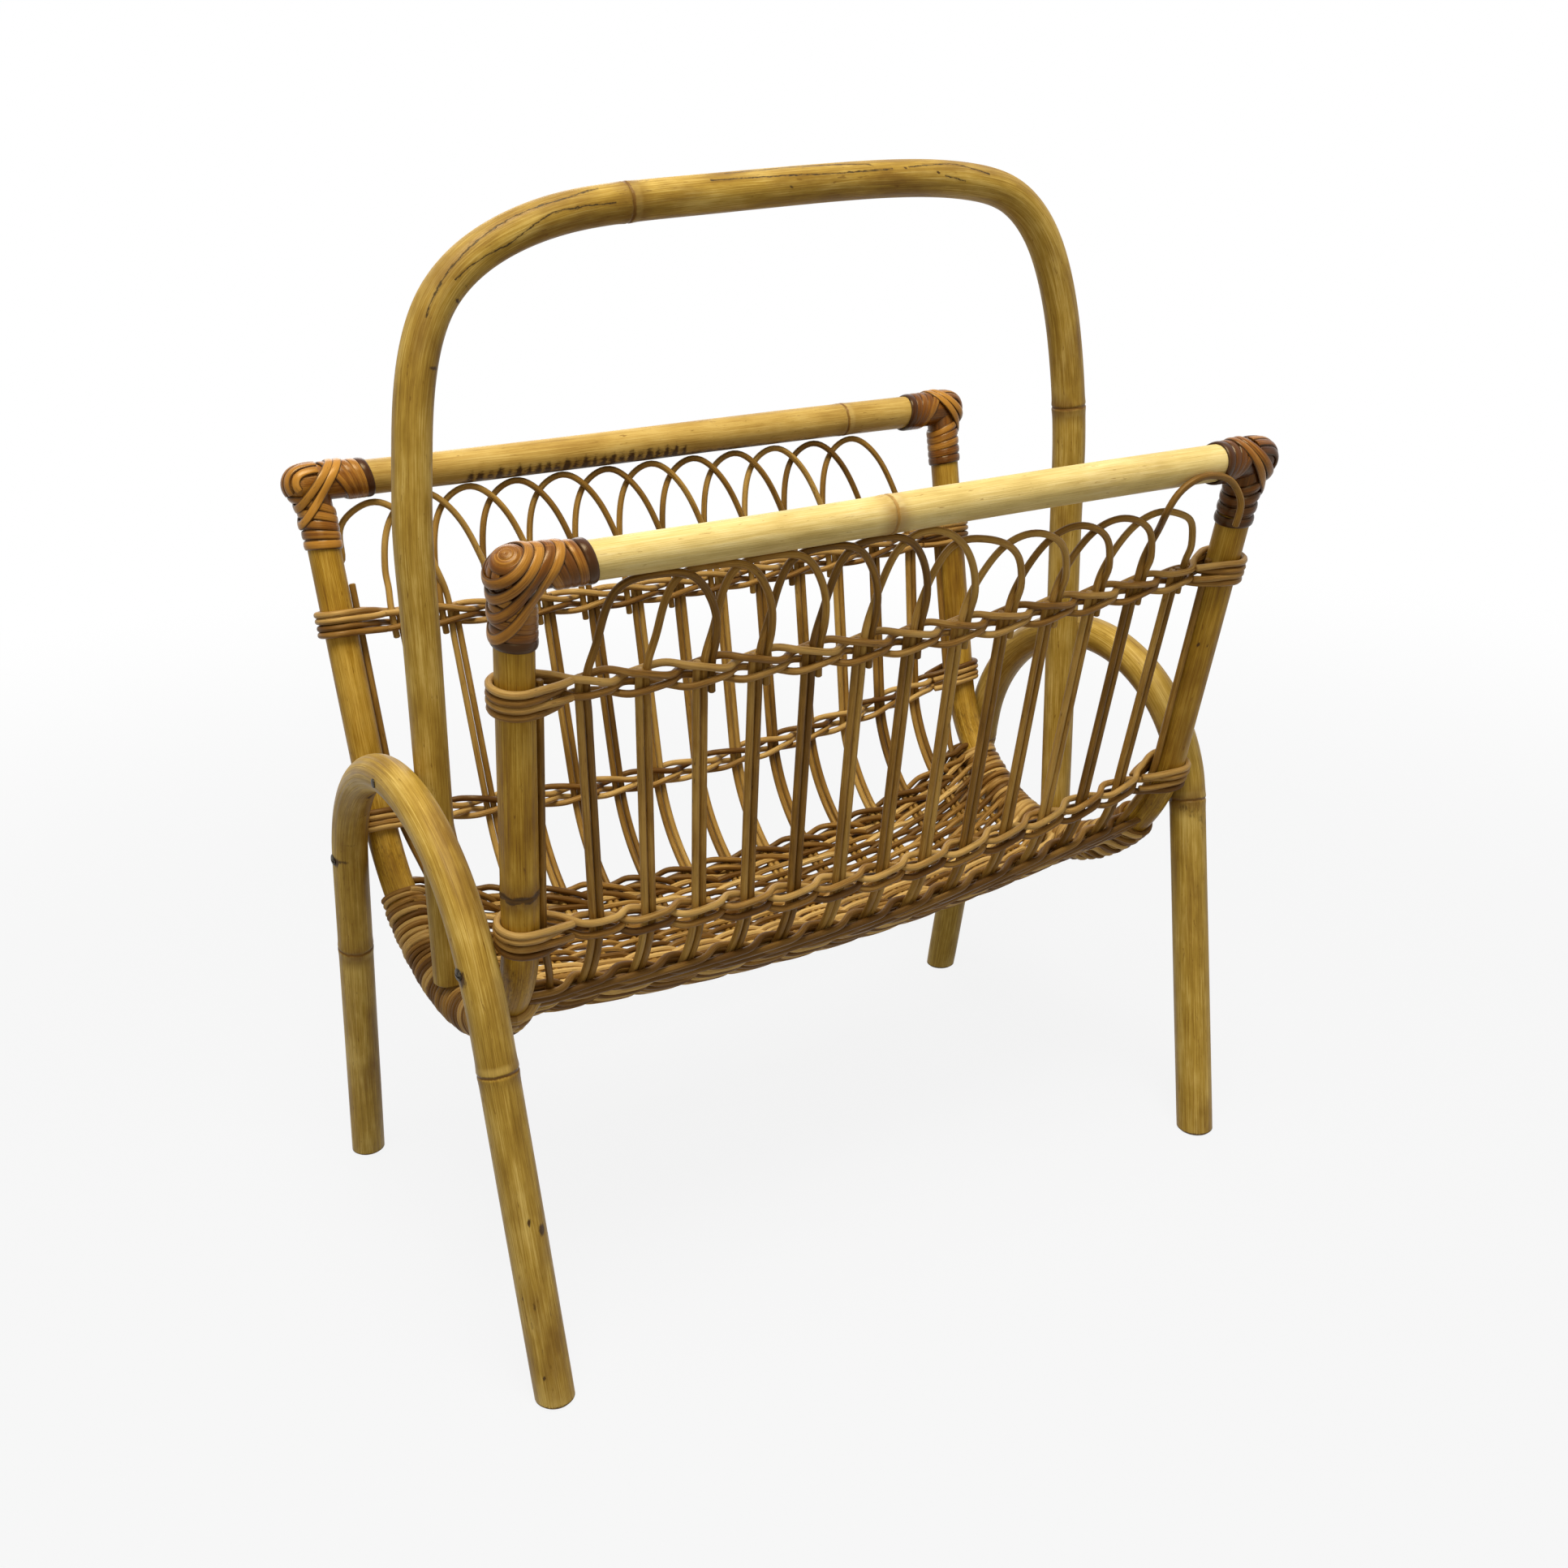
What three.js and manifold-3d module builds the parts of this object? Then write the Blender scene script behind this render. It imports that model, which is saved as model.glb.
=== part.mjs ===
// A magazine basket of bent bamboo poles, round reeds and wound cane.
// Millimetres, +Z up, +X along the basket, the front at -Y, the feet on Z = 0.
import * as THREE from "three";
import { mergeVertices } from "three/addons/utils/BufferGeometryUtils.js";
import Module from "manifold-3d";

const wasm = await Module();
wasm.setup();

// Poles
const handleDiameter = 18.6; // over the top, and thinner at the feet
const leftHandleFootDiameter = 15.8;
const rightHandleFootDiameter = 17.4;
const frameDiameter = 17.2;
const leftFrontLegDiameter = 19.2;
const leftBackLegDiameter = 18.8;
const rightFrontLegDiameter = 20.4;
const rightBackLegDiameter = 19.2;
const frontRailLeftDiameter = 16.8;
const frontRailRightDiameter = 18.9;
const backRailLeftDiameter = 18.3;
const backRailRightDiameter = 19.7;
const poleSides = 10;
const poleGap = 0.3; // between pieces that touch

// Basket frames: a U at each end, whose plane leans outwards with height
const frameHalfLength = 200.0; // centre of the basket to a frame, at the height where it leans from
const frameLeanHeight = 227.0;
const frameLeanShare = 0.04;
const floorBarHeight = 148.4; // axis of the lowest part of the U
const bendRadius = 94.2;
const stileFlareShare = 0.1975;
const bendSteps = 10;

// Rails
const railHeight = 395.5;
const railOverhang = 11.0; // past the axis of the stile
const shortRailOverhang = 3.5; // at the front left corner

// Leg arches
const leftArchHeight = 271.0; // axis of the top of the arch
const rightArchHeight = 273.2;
const leftArchSetBack = 5.5; // the top behind the middle of the basket
const rightArchSetBack = -2.6;
const leftFrontArchRadius = 102.0;
const leftBackArchRadius = 81.0;
const rightFrontArchRadius = 89.0;
const rightBackArchRadius = 91.7;
const footHalfDepth = 125.3;
const leftFrontFootReach = 213.2; // centre of the basket to a foot
const leftBackFootReach = 215.0;
const rightFrontFootReach = 205.5;
const rightBackFootReach = 214.5;
const archSteps = 6; // from the top of the arch to a leg
const legSteps = 3;

// Handle
const handleBendHeight = 389.5; // the legs are straight below it
const handleTopHeight = 535.3;
const handleFootReach = 201.4; // centre of the basket to a foot of the handle
// Distance along the basket and rise above the bend, left to right, as shares of the half length and the full rise
const handleOutlineShares = [
  [-0.99, 0.18],
  [-0.972, 0.4],
  [-0.942, 0.575],
  [-0.898, 0.7],
  [-0.825, 0.802],
  [-0.715, 0.884],
  [-0.56, 0.943],
  [-0.4, 0.966],
  [-0.2, 0.98],
  [0.0, 0.993],
  [0.22, 1.005],
  [0.42, 1.008],
  [0.62, 0.988],
  [0.76, 0.932],
  [0.855, 0.815],
  [0.912, 0.67],
  [0.95, 0.505],
  [0.98, 0.29],
];

// Reeds
const reedDiameter = 3.6;
const reedSides = 5;
const reedGap = 0.35; // between reeds, and between a reed and the cane over it
const reedPlaces = 15;
const lowerPitch = 27.0; // between reed places at the lower rows and the floor
const upperPitch = 28.6; // between reed places from the upper pitch height up
const upperPitchHeight = 338.0;
const sideBendSteps = 5; // of a reed from the middle of the floor to the straight side
const reedStubRise = 9.0; // above the middle of the upper row
const endReedRise = 20.0; // the same at the back end of an end reed
const spannedPlaces = 2; // by the arch of a reed
const reedTailDrop = 8.4; // the landing end, below the middle of the upper row
const reedSwing = 2.2; // of an arch, inwards where it rises and outwards where it lands
// The arch of a reed: distance along, height and swing, as shares of the span, the rise and the swing
const reedArchShares = [
  [0.0, 0.17, 0.0],
  [0.012, 0.255, -0.5],
  [0.065, 0.37, -1.0],
  [0.2, 0.66, -1.0],
  [0.36, 0.88, -0.95],
  [0.56, 1.0, 0.0],
  [0.76, 0.945, 0.95],
  [0.92, 0.75, 1.0],
  [1.015, 0.37, 1.0],
  [1.01, 0.26, 0.5],
  [1.0, 0.17, 0.0],
];
const lastLandingShare = 0.5; // of the rise, where the last arch ends on the lashing

// Woven bands, each with its own height at the two stiles that it goes round
const frontUpperRowLeftHeight = 342.0;
const frontUpperRowRightHeight = 338.0;
const backUpperRowLeftHeight = 323.0;
const backUpperRowRightHeight = 318.0;
const frontLowerRowLeftHeight = 224.0;
const frontLowerRowRightHeight = 217.0;
const backLowerRowLeftHeight = 219.0;
const backLowerRowRightHeight = 230.0;
const rowWidth = 13.8;
const caneThickness = 2.8;
const wrapThickness = 1.3; // of a row where it is drawn tight round a stile
const wrapGap = 0.35; // between a row and the stile that it goes round
const upperRowSteps = 1; // up the width of a row
const lowerRowSteps = 3;
const rowSteps = 8; // along each long side of a row
const rowFlareLength = 21.0; // over which a row widens from the reeds to the stile
const rowWrapAngle = THREE.MathUtils.degToRad(112);
const rowWrapSteps = 7;
const floorStations = 3; // the floor's edge, counted in the bend steps of a reed
const floorEdgeWall = 1.4; // beyond the end reed
const floorSteps = 8; // along the floor
const floorWaist = 22.0; // the back edge of the floor drawn in half way along

// How far the weight has pulled the cane and reeds down half way along, from the floor up
const floorSag = 13.7;
const lowerRowSag = 19.0;
const upperRowSag = 8.4;
const archHang = 9.5; // of the front reed arches below the rail, between the shares below
const hangShares = [0.0, 0.22, 0.75, 0.97]; // of the half length, where the arches start and stop to hang

// Windings round the floor bars
const windingLoops = 24;
const windingWidth = 3.4;
const windingThickness = 2.6;
const windingLoopSteps = 7;
const windingHalfAngle = THREE.MathUtils.degToRad(49.5);

// Lashings at the rail ends
const laceWidth = 4.4;
const laceThickness = 1.2;
const laceLoopSteps = 8;
const railLaceLoops = 5;
const stileLaceLoops = 4;
const lacePitch = 5.2;
const laceCornerReach = 10.5; // from the axis of the stile to the last turn on the rail
const laceCornerDrop = 12.5; // from the axis of the rail to the first turn on the stile
const laceCornerSteps = 3;
const laceClearLength = 14.0; // over which a reed arch dips to pass under a lashing

// Screws, nails and pins
const screwShankDiameter = 3.4;
const screwHeadDiameter = 6.6;
const screwHeadHeight = 1.8;
const nailShankDiameter = 2.4;
const nailHeadDiameter = 5.0;
const nailHeadHeight = 1.0;
const pinDiameter = 2.2;
const fastenerGrip = 11.0; // how deep a fastener goes into the second pole
const pinSink = 1.0; // the end of a pin below the surface of the pole
const fastenerSides = 8;
const overrun = 2.0; // of a cutting tool past what it cuts
const leastSelfGap = 0.4; // between the turns of a winding

// Derived sizes
const stileFlare = Math.atan(stileFlareShare);
const bendCentreHeight = floorBarHeight + bendRadius;
const bendGirth = bendRadius * (Math.PI / 2 - stileFlare);
const frameRadius = frameDiameter / 2;
const handleRadius = handleDiameter / 2;
const reedRadius = reedDiameter / 2;
const reedStep = reedDiameter + reedGap; // between reeds that stand side by side
const middlePlace = (reedPlaces - 1) / 2;
const slotHalf = reedRadius + reedGap;
const bandHalf = slotHalf + caneThickness;

// Sizes that differ from end to end and from front to back
const sided = (left, right) => (side) => (side < 0 ? left : right);
const archHeight = sided(leftArchHeight, rightArchHeight);
const archSetBack = sided(leftArchSetBack, rightArchSetBack);
const handleFootDiameter = sided(leftHandleFootDiameter, rightHandleFootDiameter);
const cornered = (leftFront, leftBack, rightFront, rightBack) => (side, face) =>
  side < 0 ? (face < 0 ? leftFront : leftBack) : face < 0 ? rightFront : rightBack;
const legDiameter = cornered(
  leftFrontLegDiameter,
  leftBackLegDiameter,
  rightFrontLegDiameter,
  rightBackLegDiameter,
);
const archRadius = cornered(
  leftFrontArchRadius,
  leftBackArchRadius,
  rightFrontArchRadius,
  rightBackArchRadius,
);
const footReach = cornered(
  leftFrontFootReach,
  leftBackFootReach,
  rightFrontFootReach,
  rightBackFootReach,
);
const railDiameter = cornered(
  frontRailLeftDiameter,
  backRailLeftDiameter,
  frontRailRightDiameter,
  backRailRightDiameter,
);
const upperRowHeight = cornered(
  frontUpperRowLeftHeight,
  backUpperRowLeftHeight,
  frontUpperRowRightHeight,
  backUpperRowRightHeight,
);
const lowerRowHeight = cornered(
  frontLowerRowLeftHeight,
  backLowerRowLeftHeight,
  frontLowerRowRightHeight,
  backLowerRowRightHeight,
);

// A size of one face at a distance along the basket, between its sizes at the two ends
function between(sizeAt, face, x) {
  const share = (x / frameHalfLength + 1) / 2;
  return THREE.MathUtils.lerp(sizeAt(-1, face), sizeAt(1, face), share);
}

// Materials
const finish = (color, roughness, metalness = 0) =>
  new THREE.MeshStandardMaterial({ color, roughness, metalness });
const bamboo = finish(0xb5894c, 0.45);
const paleBamboo = finish(0xcfae76, 0.5);
const reedWood = finish(0x8a5a30, 0.55);
const cane = finish(0x9a6233, 0.5);
const laceCane = finish(0x6e3d1c, 0.4);
const steel = finish(0x8c8880, 0.4, 0.8);

// A curve whose even steps land on its own points
class PointCurve extends THREE.CatmullRomCurve3 {
  getUtoTmapping(u) {
    return u;
  }
}

const point = (x, y, z) => new THREE.Vector3(x, y, z);

// A regular polygon inside the circle
function circleShape(radius, sides) {
  const corners = Array.from({ length: sides }, (_, i) => {
    const angle = (2 * Math.PI * i) / sides;
    return new THREE.Vector2(radius * Math.cos(angle), radius * Math.sin(angle));
  });
  return new THREE.Shape(corners);
}

// A solid tube through the points
function tube(points, radius, sides) {
  return new THREE.ExtrudeGeometry(circleShape(radius, sides), {
    steps: points.length - 1,
    bevelEnabled: false,
    extrudePath: new PointCurve(points),
  });
}

// A solid through the points, whose sections lie square to the path and on its outward directions
function loft(points, outwards, sections) {
  const corners = [];
  points.forEach((at, i) => {
    const before = points[Math.max(i - 1, 0)];
    const after = points[Math.min(i + 1, points.length - 1)];
    const along = after.clone().sub(before).normalize();
    const out = outwards[i].clone().addScaledVector(along, -outwards[i].dot(along)).normalize();
    const across = along.clone().cross(out);
    for (const { x, y } of sections[i])
      corners.push(at.clone().addScaledVector(across, x).addScaledVector(out, y));
  });
  const sides = sections[0].length;
  const last = sides * (points.length - 1);
  const faces = [];
  for (let k = 1; k < sides - 1; k++) {
    faces.push(0, k, k + 1);
    faces.push(last, last + k + 1, last + k);
  }
  for (let a = 0; a < last; a++) {
    const b = a % sides === sides - 1 ? a + 1 - sides : a + 1;
    faces.push(a, a + sides, b, b, a + sides, b + sides);
  }
  const geometry = new THREE.BufferGeometry().setFromPoints(corners);
  geometry.setIndex(faces);
  geometry.computeVertexNormals();
  return geometry;
}

// A round pole with a radius of its own at each point
function pole(points, outward, radii) {
  const sections = radii.map((radius) => circleShape(radius, poleSides).getPoints());
  for (const section of sections) section.length = poleSides;
  return loft(points, Array(points.length).fill(outward), sections);
}

// A flat band lying on its outward directions
function band(points, outwards, width, thickness) {
  const corners = [
    new THREE.Vector2(-width / 2, -thickness / 2),
    new THREE.Vector2(width / 2, -thickness / 2),
    new THREE.Vector2(width / 2, thickness / 2),
    new THREE.Vector2(-width / 2, thickness / 2),
  ];
  return loft(points, outwards, Array(points.length).fill(corners));
}

// The least distance between the edges of a band more than half a loop apart
function selfGap(geometry, loopSteps) {
  const sides = 4;
  const positions = geometry.attributes.position;
  const corners = Array.from({ length: positions.count }, (_, i) =>
    point(0, 0, 0).fromBufferAttribute(positions, i),
  );
  let least = Infinity;
  corners.forEach((a, i) => {
    for (let j = i + (sides * loopSteps) / 2; j < corners.length; j++)
      least = Math.min(least, a.distanceTo(corners[j]));
  });
  return least;
}

function wound(name, points, outwards, width, thickness, loopSteps) {
  const geometry = band(points, outwards, width, thickness);
  const gap = selfGap(geometry, loopSteps);
  console.log(`${name}: least gap to itself ${gap.toFixed(2)} mm`);
  if (gap <= leastSelfGap) throw new Error(`${name} comes within ${gap.toFixed(2)} mm of itself`);
  return geometry;
}

// Solids for cuts
function solidOf(geometry) {
  const bare = geometry.clone();
  bare.deleteAttribute("normal");
  bare.deleteAttribute("uv");
  const merged = mergeVertices(bare);
  return new wasm.Manifold(
    new wasm.Mesh({
      numProp: 3,
      vertProperties: merged.attributes.position.array,
      triVerts: new Uint32Array(merged.index.array),
    }),
  );
}

function cut(geometry, tools) {
  const solid = tools.reduce((left, tool) => left.subtract(solidOf(tool)), solidOf(geometry));
  const mesh = solid.getMesh();
  const result = new THREE.BufferGeometry();
  result.setAttribute("position", new THREE.BufferAttribute(mesh.vertProperties, 3));
  result.setIndex(new THREE.BufferAttribute(mesh.triVerts, 1));
  result.computeVertexNormals();
  return result;
}

// A round bar from one point to another, outside its circles
function rod(from, to, radiusFrom, radiusTo, sides) {
  const along = to.clone().sub(from);
  const outside = 1 / Math.cos(Math.PI / sides);
  const geometry = new THREE.CylinderGeometry(
    outside * radiusTo,
    outside * radiusFrom,
    along.length(),
    sides,
  );
  const turn = new THREE.Quaternion();
  turn.setFromUnitVectors(point(0, 1, 0), along.clone().normalize());
  const middle = from.clone().add(to).divideScalar(2);
  return geometry.applyQuaternion(turn).translate(middle.x, middle.y, middle.z);
}

// The section of the basket by girth: zero under the middle, positive to the back
function section(girth) {
  const side = Math.sign(girth);
  const beyond = Math.max(Math.abs(girth) - bendGirth, 0);
  const angle = beyond > 0 ? (side * bendGirth) / bendRadius : girth / bendRadius;
  const out = new THREE.Vector2(Math.sin(angle), -Math.cos(angle));
  const y = bendRadius * out.x + side * beyond * Math.sin(stileFlare);
  const z = bendCentreHeight + bendRadius * out.y + beyond * Math.cos(stileFlare);
  return { y, z, out };
}

// The girth at which the side of the basket reaches a height
function girthAt(height) {
  const straightFrom = section(bendGirth).z;
  if (height >= straightFrom) return bendGirth + (height - straightFrom) / Math.cos(stileFlare);
  return bendRadius * Math.acos((bendCentreHeight - height) / bendRadius);
}

// Distance from the centre of the basket to a frame's plane at a height
const frameAt = (height) => frameHalfLength + frameLeanShare * (height - frameLeanHeight);

function framePoint(side, girth) {
  const at = section(girth);
  return point(side * frameAt(at.z), at.y, at.z);
}

const bendStep = bendGirth / sideBendSteps;
const upperPitchGirth = girthAt(upperPitchHeight);
const railGirth = girthAt(railHeight);
const railY = section(railGirth).y;

// The section as a reed follows it, straight between the points of its bend
function reedSection(girth) {
  const steps = Math.abs(girth) / bendStep;
  if (steps >= sideBendSteps) return section(girth);
  const before = section(Math.sign(girth) * bendStep * Math.floor(steps));
  const after = section(Math.sign(girth) * bendStep * (Math.floor(steps) + 1));
  const share = steps - Math.floor(steps);
  const y = THREE.MathUtils.lerp(before.y, after.y, share);
  const z = THREE.MathUtils.lerp(before.z, after.z, share);
  return { y, z, out: before.out.lerp(after.out, share) };
}

// The height of the top of a reed arch: under the rail, and under the lashing where there is one
const railLaceRound = (radius) => (radius + poleGap) / Math.cos(Math.PI / laceLoopSteps);
const lacedFrom =
  frameAt(railHeight) - laceCornerReach - railLaceLoops * lacePitch - laceWidth;

function archTopHeight(face, x) {
  const radius = between(railDiameter, face, x) / 2;
  const laced = railLaceRound(radius) + laceThickness - radius;
  const under = THREE.MathUtils.smoothstep(Math.abs(x), lacedFrom - laceClearLength, lacedFrom);
  return railHeight - radius - poleGap - reedRadius - laced * under;
}

// How far the front reed arches hang below that, all of it to the right of the middle
function hangOf(face, x) {
  const [from, full, until, end] = hangShares.map((share) => share * frameHalfLength);
  const grown = THREE.MathUtils.smoothstep(x, from, full);
  return face < 0 ? archHang * grown * (1 - THREE.MathUtils.smoothstep(x, until, end)) : 0;
}

// How far a point of the woven part hangs down
function sagOf(face, x, height) {
  const across = Math.cos((Math.PI / 2) * THREE.MathUtils.clamp(x / frameHalfLength, -1, 1));
  const levels = [
    [floorBarHeight, floorSag * across],
    [between(lowerRowHeight, face, x), lowerRowSag * across],
    [between(upperRowHeight, face, x), upperRowSag * across],
    [archTopHeight(face, x), hangOf(face, x)],
  ];
  const above = levels.findIndex(([level]) => height < level);
  const next = above < 0 ? levels.length - 1 : Math.max(above, 1);
  const [lowLevel, lowSag] = levels[next - 1];
  const [highLevel, highSag] = levels[next];
  const share = THREE.MathUtils.clamp((height - lowLevel) / (highLevel - lowLevel), 0, 1);
  return THREE.MathUtils.lerp(lowSag, highSag, share);
}

// A point of the woven part: along the basket, round its section and out from it, with its sag
function wovenPoint(x, girth, outwards = 0, at = reedSection(girth)) {
  const y = at.y + outwards * at.out.x;
  const z = at.z + outwards * at.out.y;
  return point(x, y, z - sagOf(Math.sign(girth), x, at.z));
}

const stileLaceRound = (frameRadius + poleGap) / Math.cos(Math.PI / laceLoopSteps);

// Rows: flat rings round the reeds and both stiles
const wrapInner = (frameRadius + wrapGap) / Math.cos(rowWrapAngle / rowWrapSteps);
const wrapOuter = wrapInner + wrapThickness;

function rowContour(halfLength, straightOff, wrapRadius) {
  const corners = [];
  for (const side of [1, -1]) {
    for (let i = 0; i <= rowSteps; i++) {
      const share = (2 * i) / rowSteps - 1;
      const x = side * share * (halfLength - rowFlareLength);
      corners.push(new THREE.Vector2(x, -side * straightOff));
    }
    for (let i = 0; i <= rowWrapSteps; i++) {
      const angle = rowWrapAngle * ((2 * i) / rowWrapSteps - 1);
      const x = side * (halfLength + wrapRadius * Math.cos(angle));
      corners.push(new THREE.Vector2(x, side * wrapRadius * Math.sin(angle)));
    }
  }
  return corners;
}

const onReeds = (x, girth) => reedSection(girth);

// A ring drawn along the basket and out from it, carried along the girth and sagged
function wovenRing(outer, inner, steps, girthOf, stretchOf = () => 1, sectionOf = onReeds) {
  const count = outer.length;
  const corners = [];
  for (let i = 0; i <= steps; i++) {
    for (const { x, y } of [...outer, ...inner]) {
      const girth = girthOf(i, x);
      corners.push(wovenPoint(x * stretchOf(girth), girth, y, sectionOf(x, girth)));
    }
  }
  const faces = [];
  const quad = (a, b, c, d) => faces.push(a, b, c, a, c, d);
  const last = 2 * count * steps;
  for (let k = 0; k < count; k++) {
    const next = (k + 1) % count;
    for (let i = 0; i < steps; i++) {
      const low = 2 * count * i;
      const high = low + 2 * count;
      quad(low + k, low + next, high + next, high + k);
      quad(low + count + next, low + count + k, high + count + k, high + count + next);
    }
    quad(next, k, count + k, count + next);
    quad(last + k, last + next, last + count + next, last + count + k);
  }
  const geometry = new THREE.BufferGeometry().setFromPoints(corners);
  geometry.setIndex(faces);
  geometry.computeVertexNormals();
  return geometry;
}

function twinedRow(face, heightAt, steps) {
  const middle = (heightAt(-1, face) + heightAt(1, face)) / 2;
  const halfLength = frameAt(middle);
  return wovenRing(
    rowContour(halfLength, bandHalf, wrapOuter),
    rowContour(halfLength, slotHalf, wrapInner),
    steps,
    (i, x) => face * girthAt(between(heightAt, face, x)) + rowWidth * (i / steps - 1 / 2),
    (girth) => frameAt(section(girth).z) / halfLength,
    (x, girth) => (Math.abs(x) > halfLength - rowFlareLength / 2 ? section : reedSection)(girth),
  );
}

// Floor: two layers over and under the reeds, joined beyond the end reeds
const floorHalfGirth = floorStations * bendStep;
const windingDip = bendRadius * (1 - Math.cos(bendGirth / bendRadius / bendSteps));
const windingInner =
  (frameRadius + poleGap + windingDip) / Math.cos(Math.PI / windingLoopSteps);
const windingOuter = windingInner + windingThickness;
const floorHalfLength = frameAt(floorBarHeight) - windingOuter - poleGap;
const floorReedHalfLength = floorHalfLength - floorEdgeWall - slotHalf;

function floorContour(halfLength, halfThickness) {
  const corners = [];
  for (const side of [1, -1]) {
    for (let i = 0; i <= floorSteps; i++) {
      const x = side * halfLength * ((2 * i) / floorSteps - 1);
      corners.push(new THREE.Vector2(x, -side * halfThickness));
    }
  }
  return corners;
}

function wovenFloor() {
  const drawnIn = (x) => floorWaist * (1 - (x / floorHalfLength) ** 4);
  return wovenRing(
    floorContour(floorHalfLength, bandHalf),
    floorContour(floorHalfLength - floorEdgeWall, slotHalf),
    2 * floorStations,
    (i, x) =>
      i < 2 * floorStations ? (i - floorStations) * bendStep : floorHalfGirth - drawnIn(x),
  );
}

// Windings of the floor's cane round the floor bars
function floorWinding(side) {
  const steps = windingLoops * windingLoopSteps;
  const radius = windingInner + windingThickness / 2;
  const points = [];
  const outwards = [];
  for (let i = 0; i <= steps; i++) {
    const girth = bendRadius * windingHalfAngle * ((2 * i) / steps - 1);
    const turn = (2 * Math.PI * i) / windingLoopSteps;
    const { out } = section(girth);
    const down = point(0, out.x, out.y);
    const outward = down.multiplyScalar(Math.cos(turn)).add(point(Math.sin(turn), 0, 0));
    points.push(framePoint(side, girth).addScaledVector(outward, radius));
    outwards.push(outward);
  }
  withStraightEnds(points, outwards, windingWidth);
  const name = `${endName(side)}_floor_winding`;
  return wound(name, points, outwards, windingWidth, windingThickness, windingLoopSteps);
}

// Both ends of a wound path go straight on for one width of the cane
function withStraightEnds(points, outwards, length) {
  const start = points[0].clone().sub(points[1]).normalize();
  const end = points.at(-1).clone().sub(points.at(-2)).normalize();
  points.unshift(points[0].clone().addScaledVector(start, length));
  points.push(points.at(-1).clone().addScaledVector(end, length));
  outwards.unshift(outwards[0]);
  outwards.push(outwards.at(-1));
}

// Handle: legs that stand on the windings, and the bent top
const barRise = bendRadius - Math.sqrt(bendRadius ** 2 - handleRadius ** 2);
const handleFootHeight = floorBarHeight + windingOuter + barRise + poleGap;

// Distance from the centre of the basket to the outside of a handle leg
function handleOutsideAt(side, height) {
  const down = (handleBendHeight - height) / (handleBendHeight - handleFootHeight);
  const axis = THREE.MathUtils.lerp(frameHalfLength, handleFootReach, down);
  return axis + THREE.MathUtils.lerp(handleRadius, handleFootDiameter(side) / 2, down);
}

function handleArch() {
  const points = handleOutlineShares.map(([along, rise]) =>
    point(
      along * frameHalfLength,
      0,
      THREE.MathUtils.lerp(handleBendHeight, handleTopHeight, rise),
    ),
  );
  points.unshift(point(-frameHalfLength, 0, handleBendHeight));
  points.push(point(frameHalfLength, 0, handleBendHeight));
  const radii = points.map(() => handleRadius);
  points.unshift(point(-handleFootReach, 0, handleFootHeight));
  points.push(point(handleFootReach, 0, handleFootHeight));
  radii.unshift(handleFootDiameter(-1) / 2);
  radii.push(handleFootDiameter(1) / 2);
  const tools = [-1, 1].flatMap((side) => [holeFor(nailOf(side)), holeFor(footPinOf(side))]);
  return cut(pole(points, point(0, 1, 0), radii), tools);
}

// Leg arches, seen from the end: an arc from the top to each leg, and a straight leg to its foot
function archSide(side, face) {
  const radius = archRadius(side, face);
  const centre = { out: face * archSetBack(side), z: archHeight(side) - radius };
  const apart = footHalfDepth - centre.out;
  const angle = Math.acos(radius / Math.hypot(apart, centre.z)) - Math.atan2(centre.z, apart);
  const legOut = centre.out + radius * Math.cos(angle);
  const legTop = centre.z + radius * Math.sin(angle);
  return { radius, centre, angle, legOut, legTop };
}

// How far in front of the middle, or behind it, an arch passes a height
function archOutAt(side, face, height) {
  const { radius, centre, legOut, legTop } = archSide(side, face);
  if (height < legTop) return THREE.MathUtils.lerp(footHalfDepth, legOut, height / legTop);
  return centre.out + Math.sqrt(Math.max(radius ** 2 - (height - centre.z) ** 2, 0));
}

// Where an arch crosses a stile, both seen from the end
function crossingHeight(side, face) {
  const halvings = 40;
  let low = floorBarHeight;
  let high = Math.min(bendCentreHeight, archHeight(side));
  for (let i = 0; i < halvings; i++) {
    const middle = (low + high) / 2;
    if (section(girthAt(middle)).y < archOutAt(side, face, middle)) low = middle;
    else high = middle;
  }
  return low;
}

// Distance from the centre of the basket to a leg arch, which bears on the stile and on the handle
function archAt(side, face, height) {
  const crossing = crossingHeight(side, face);
  const legRadius = legDiameter(side, face) / 2;
  const wrapHeight = lowerRowHeight(side, face) - rowWidth / 2;
  const apart = archOutAt(side, face, wrapHeight) - section(girthAt(wrapHeight)).y;
  const overWrap = wrapOuter + poleGap + legRadius;
  const onStile = frameRadius + poleGap + legRadius;
  const bearing =
    frameAt(crossing) + Math.max(onStile, Math.sqrt(Math.max(overWrap ** 2 - apart ** 2, 0)));
  if (height < crossing)
    return THREE.MathUtils.lerp(footReach(side, face), bearing, height / crossing);
  const thick = Math.max(legDiameter(side, -1), legDiameter(side, 1)) / 2;
  const top = handleOutsideAt(side, archHeight(side)) + poleGap + thick;
  return THREE.MathUtils.lerp(bearing, top, (height - crossing) / (archHeight(side) - crossing));
}

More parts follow.
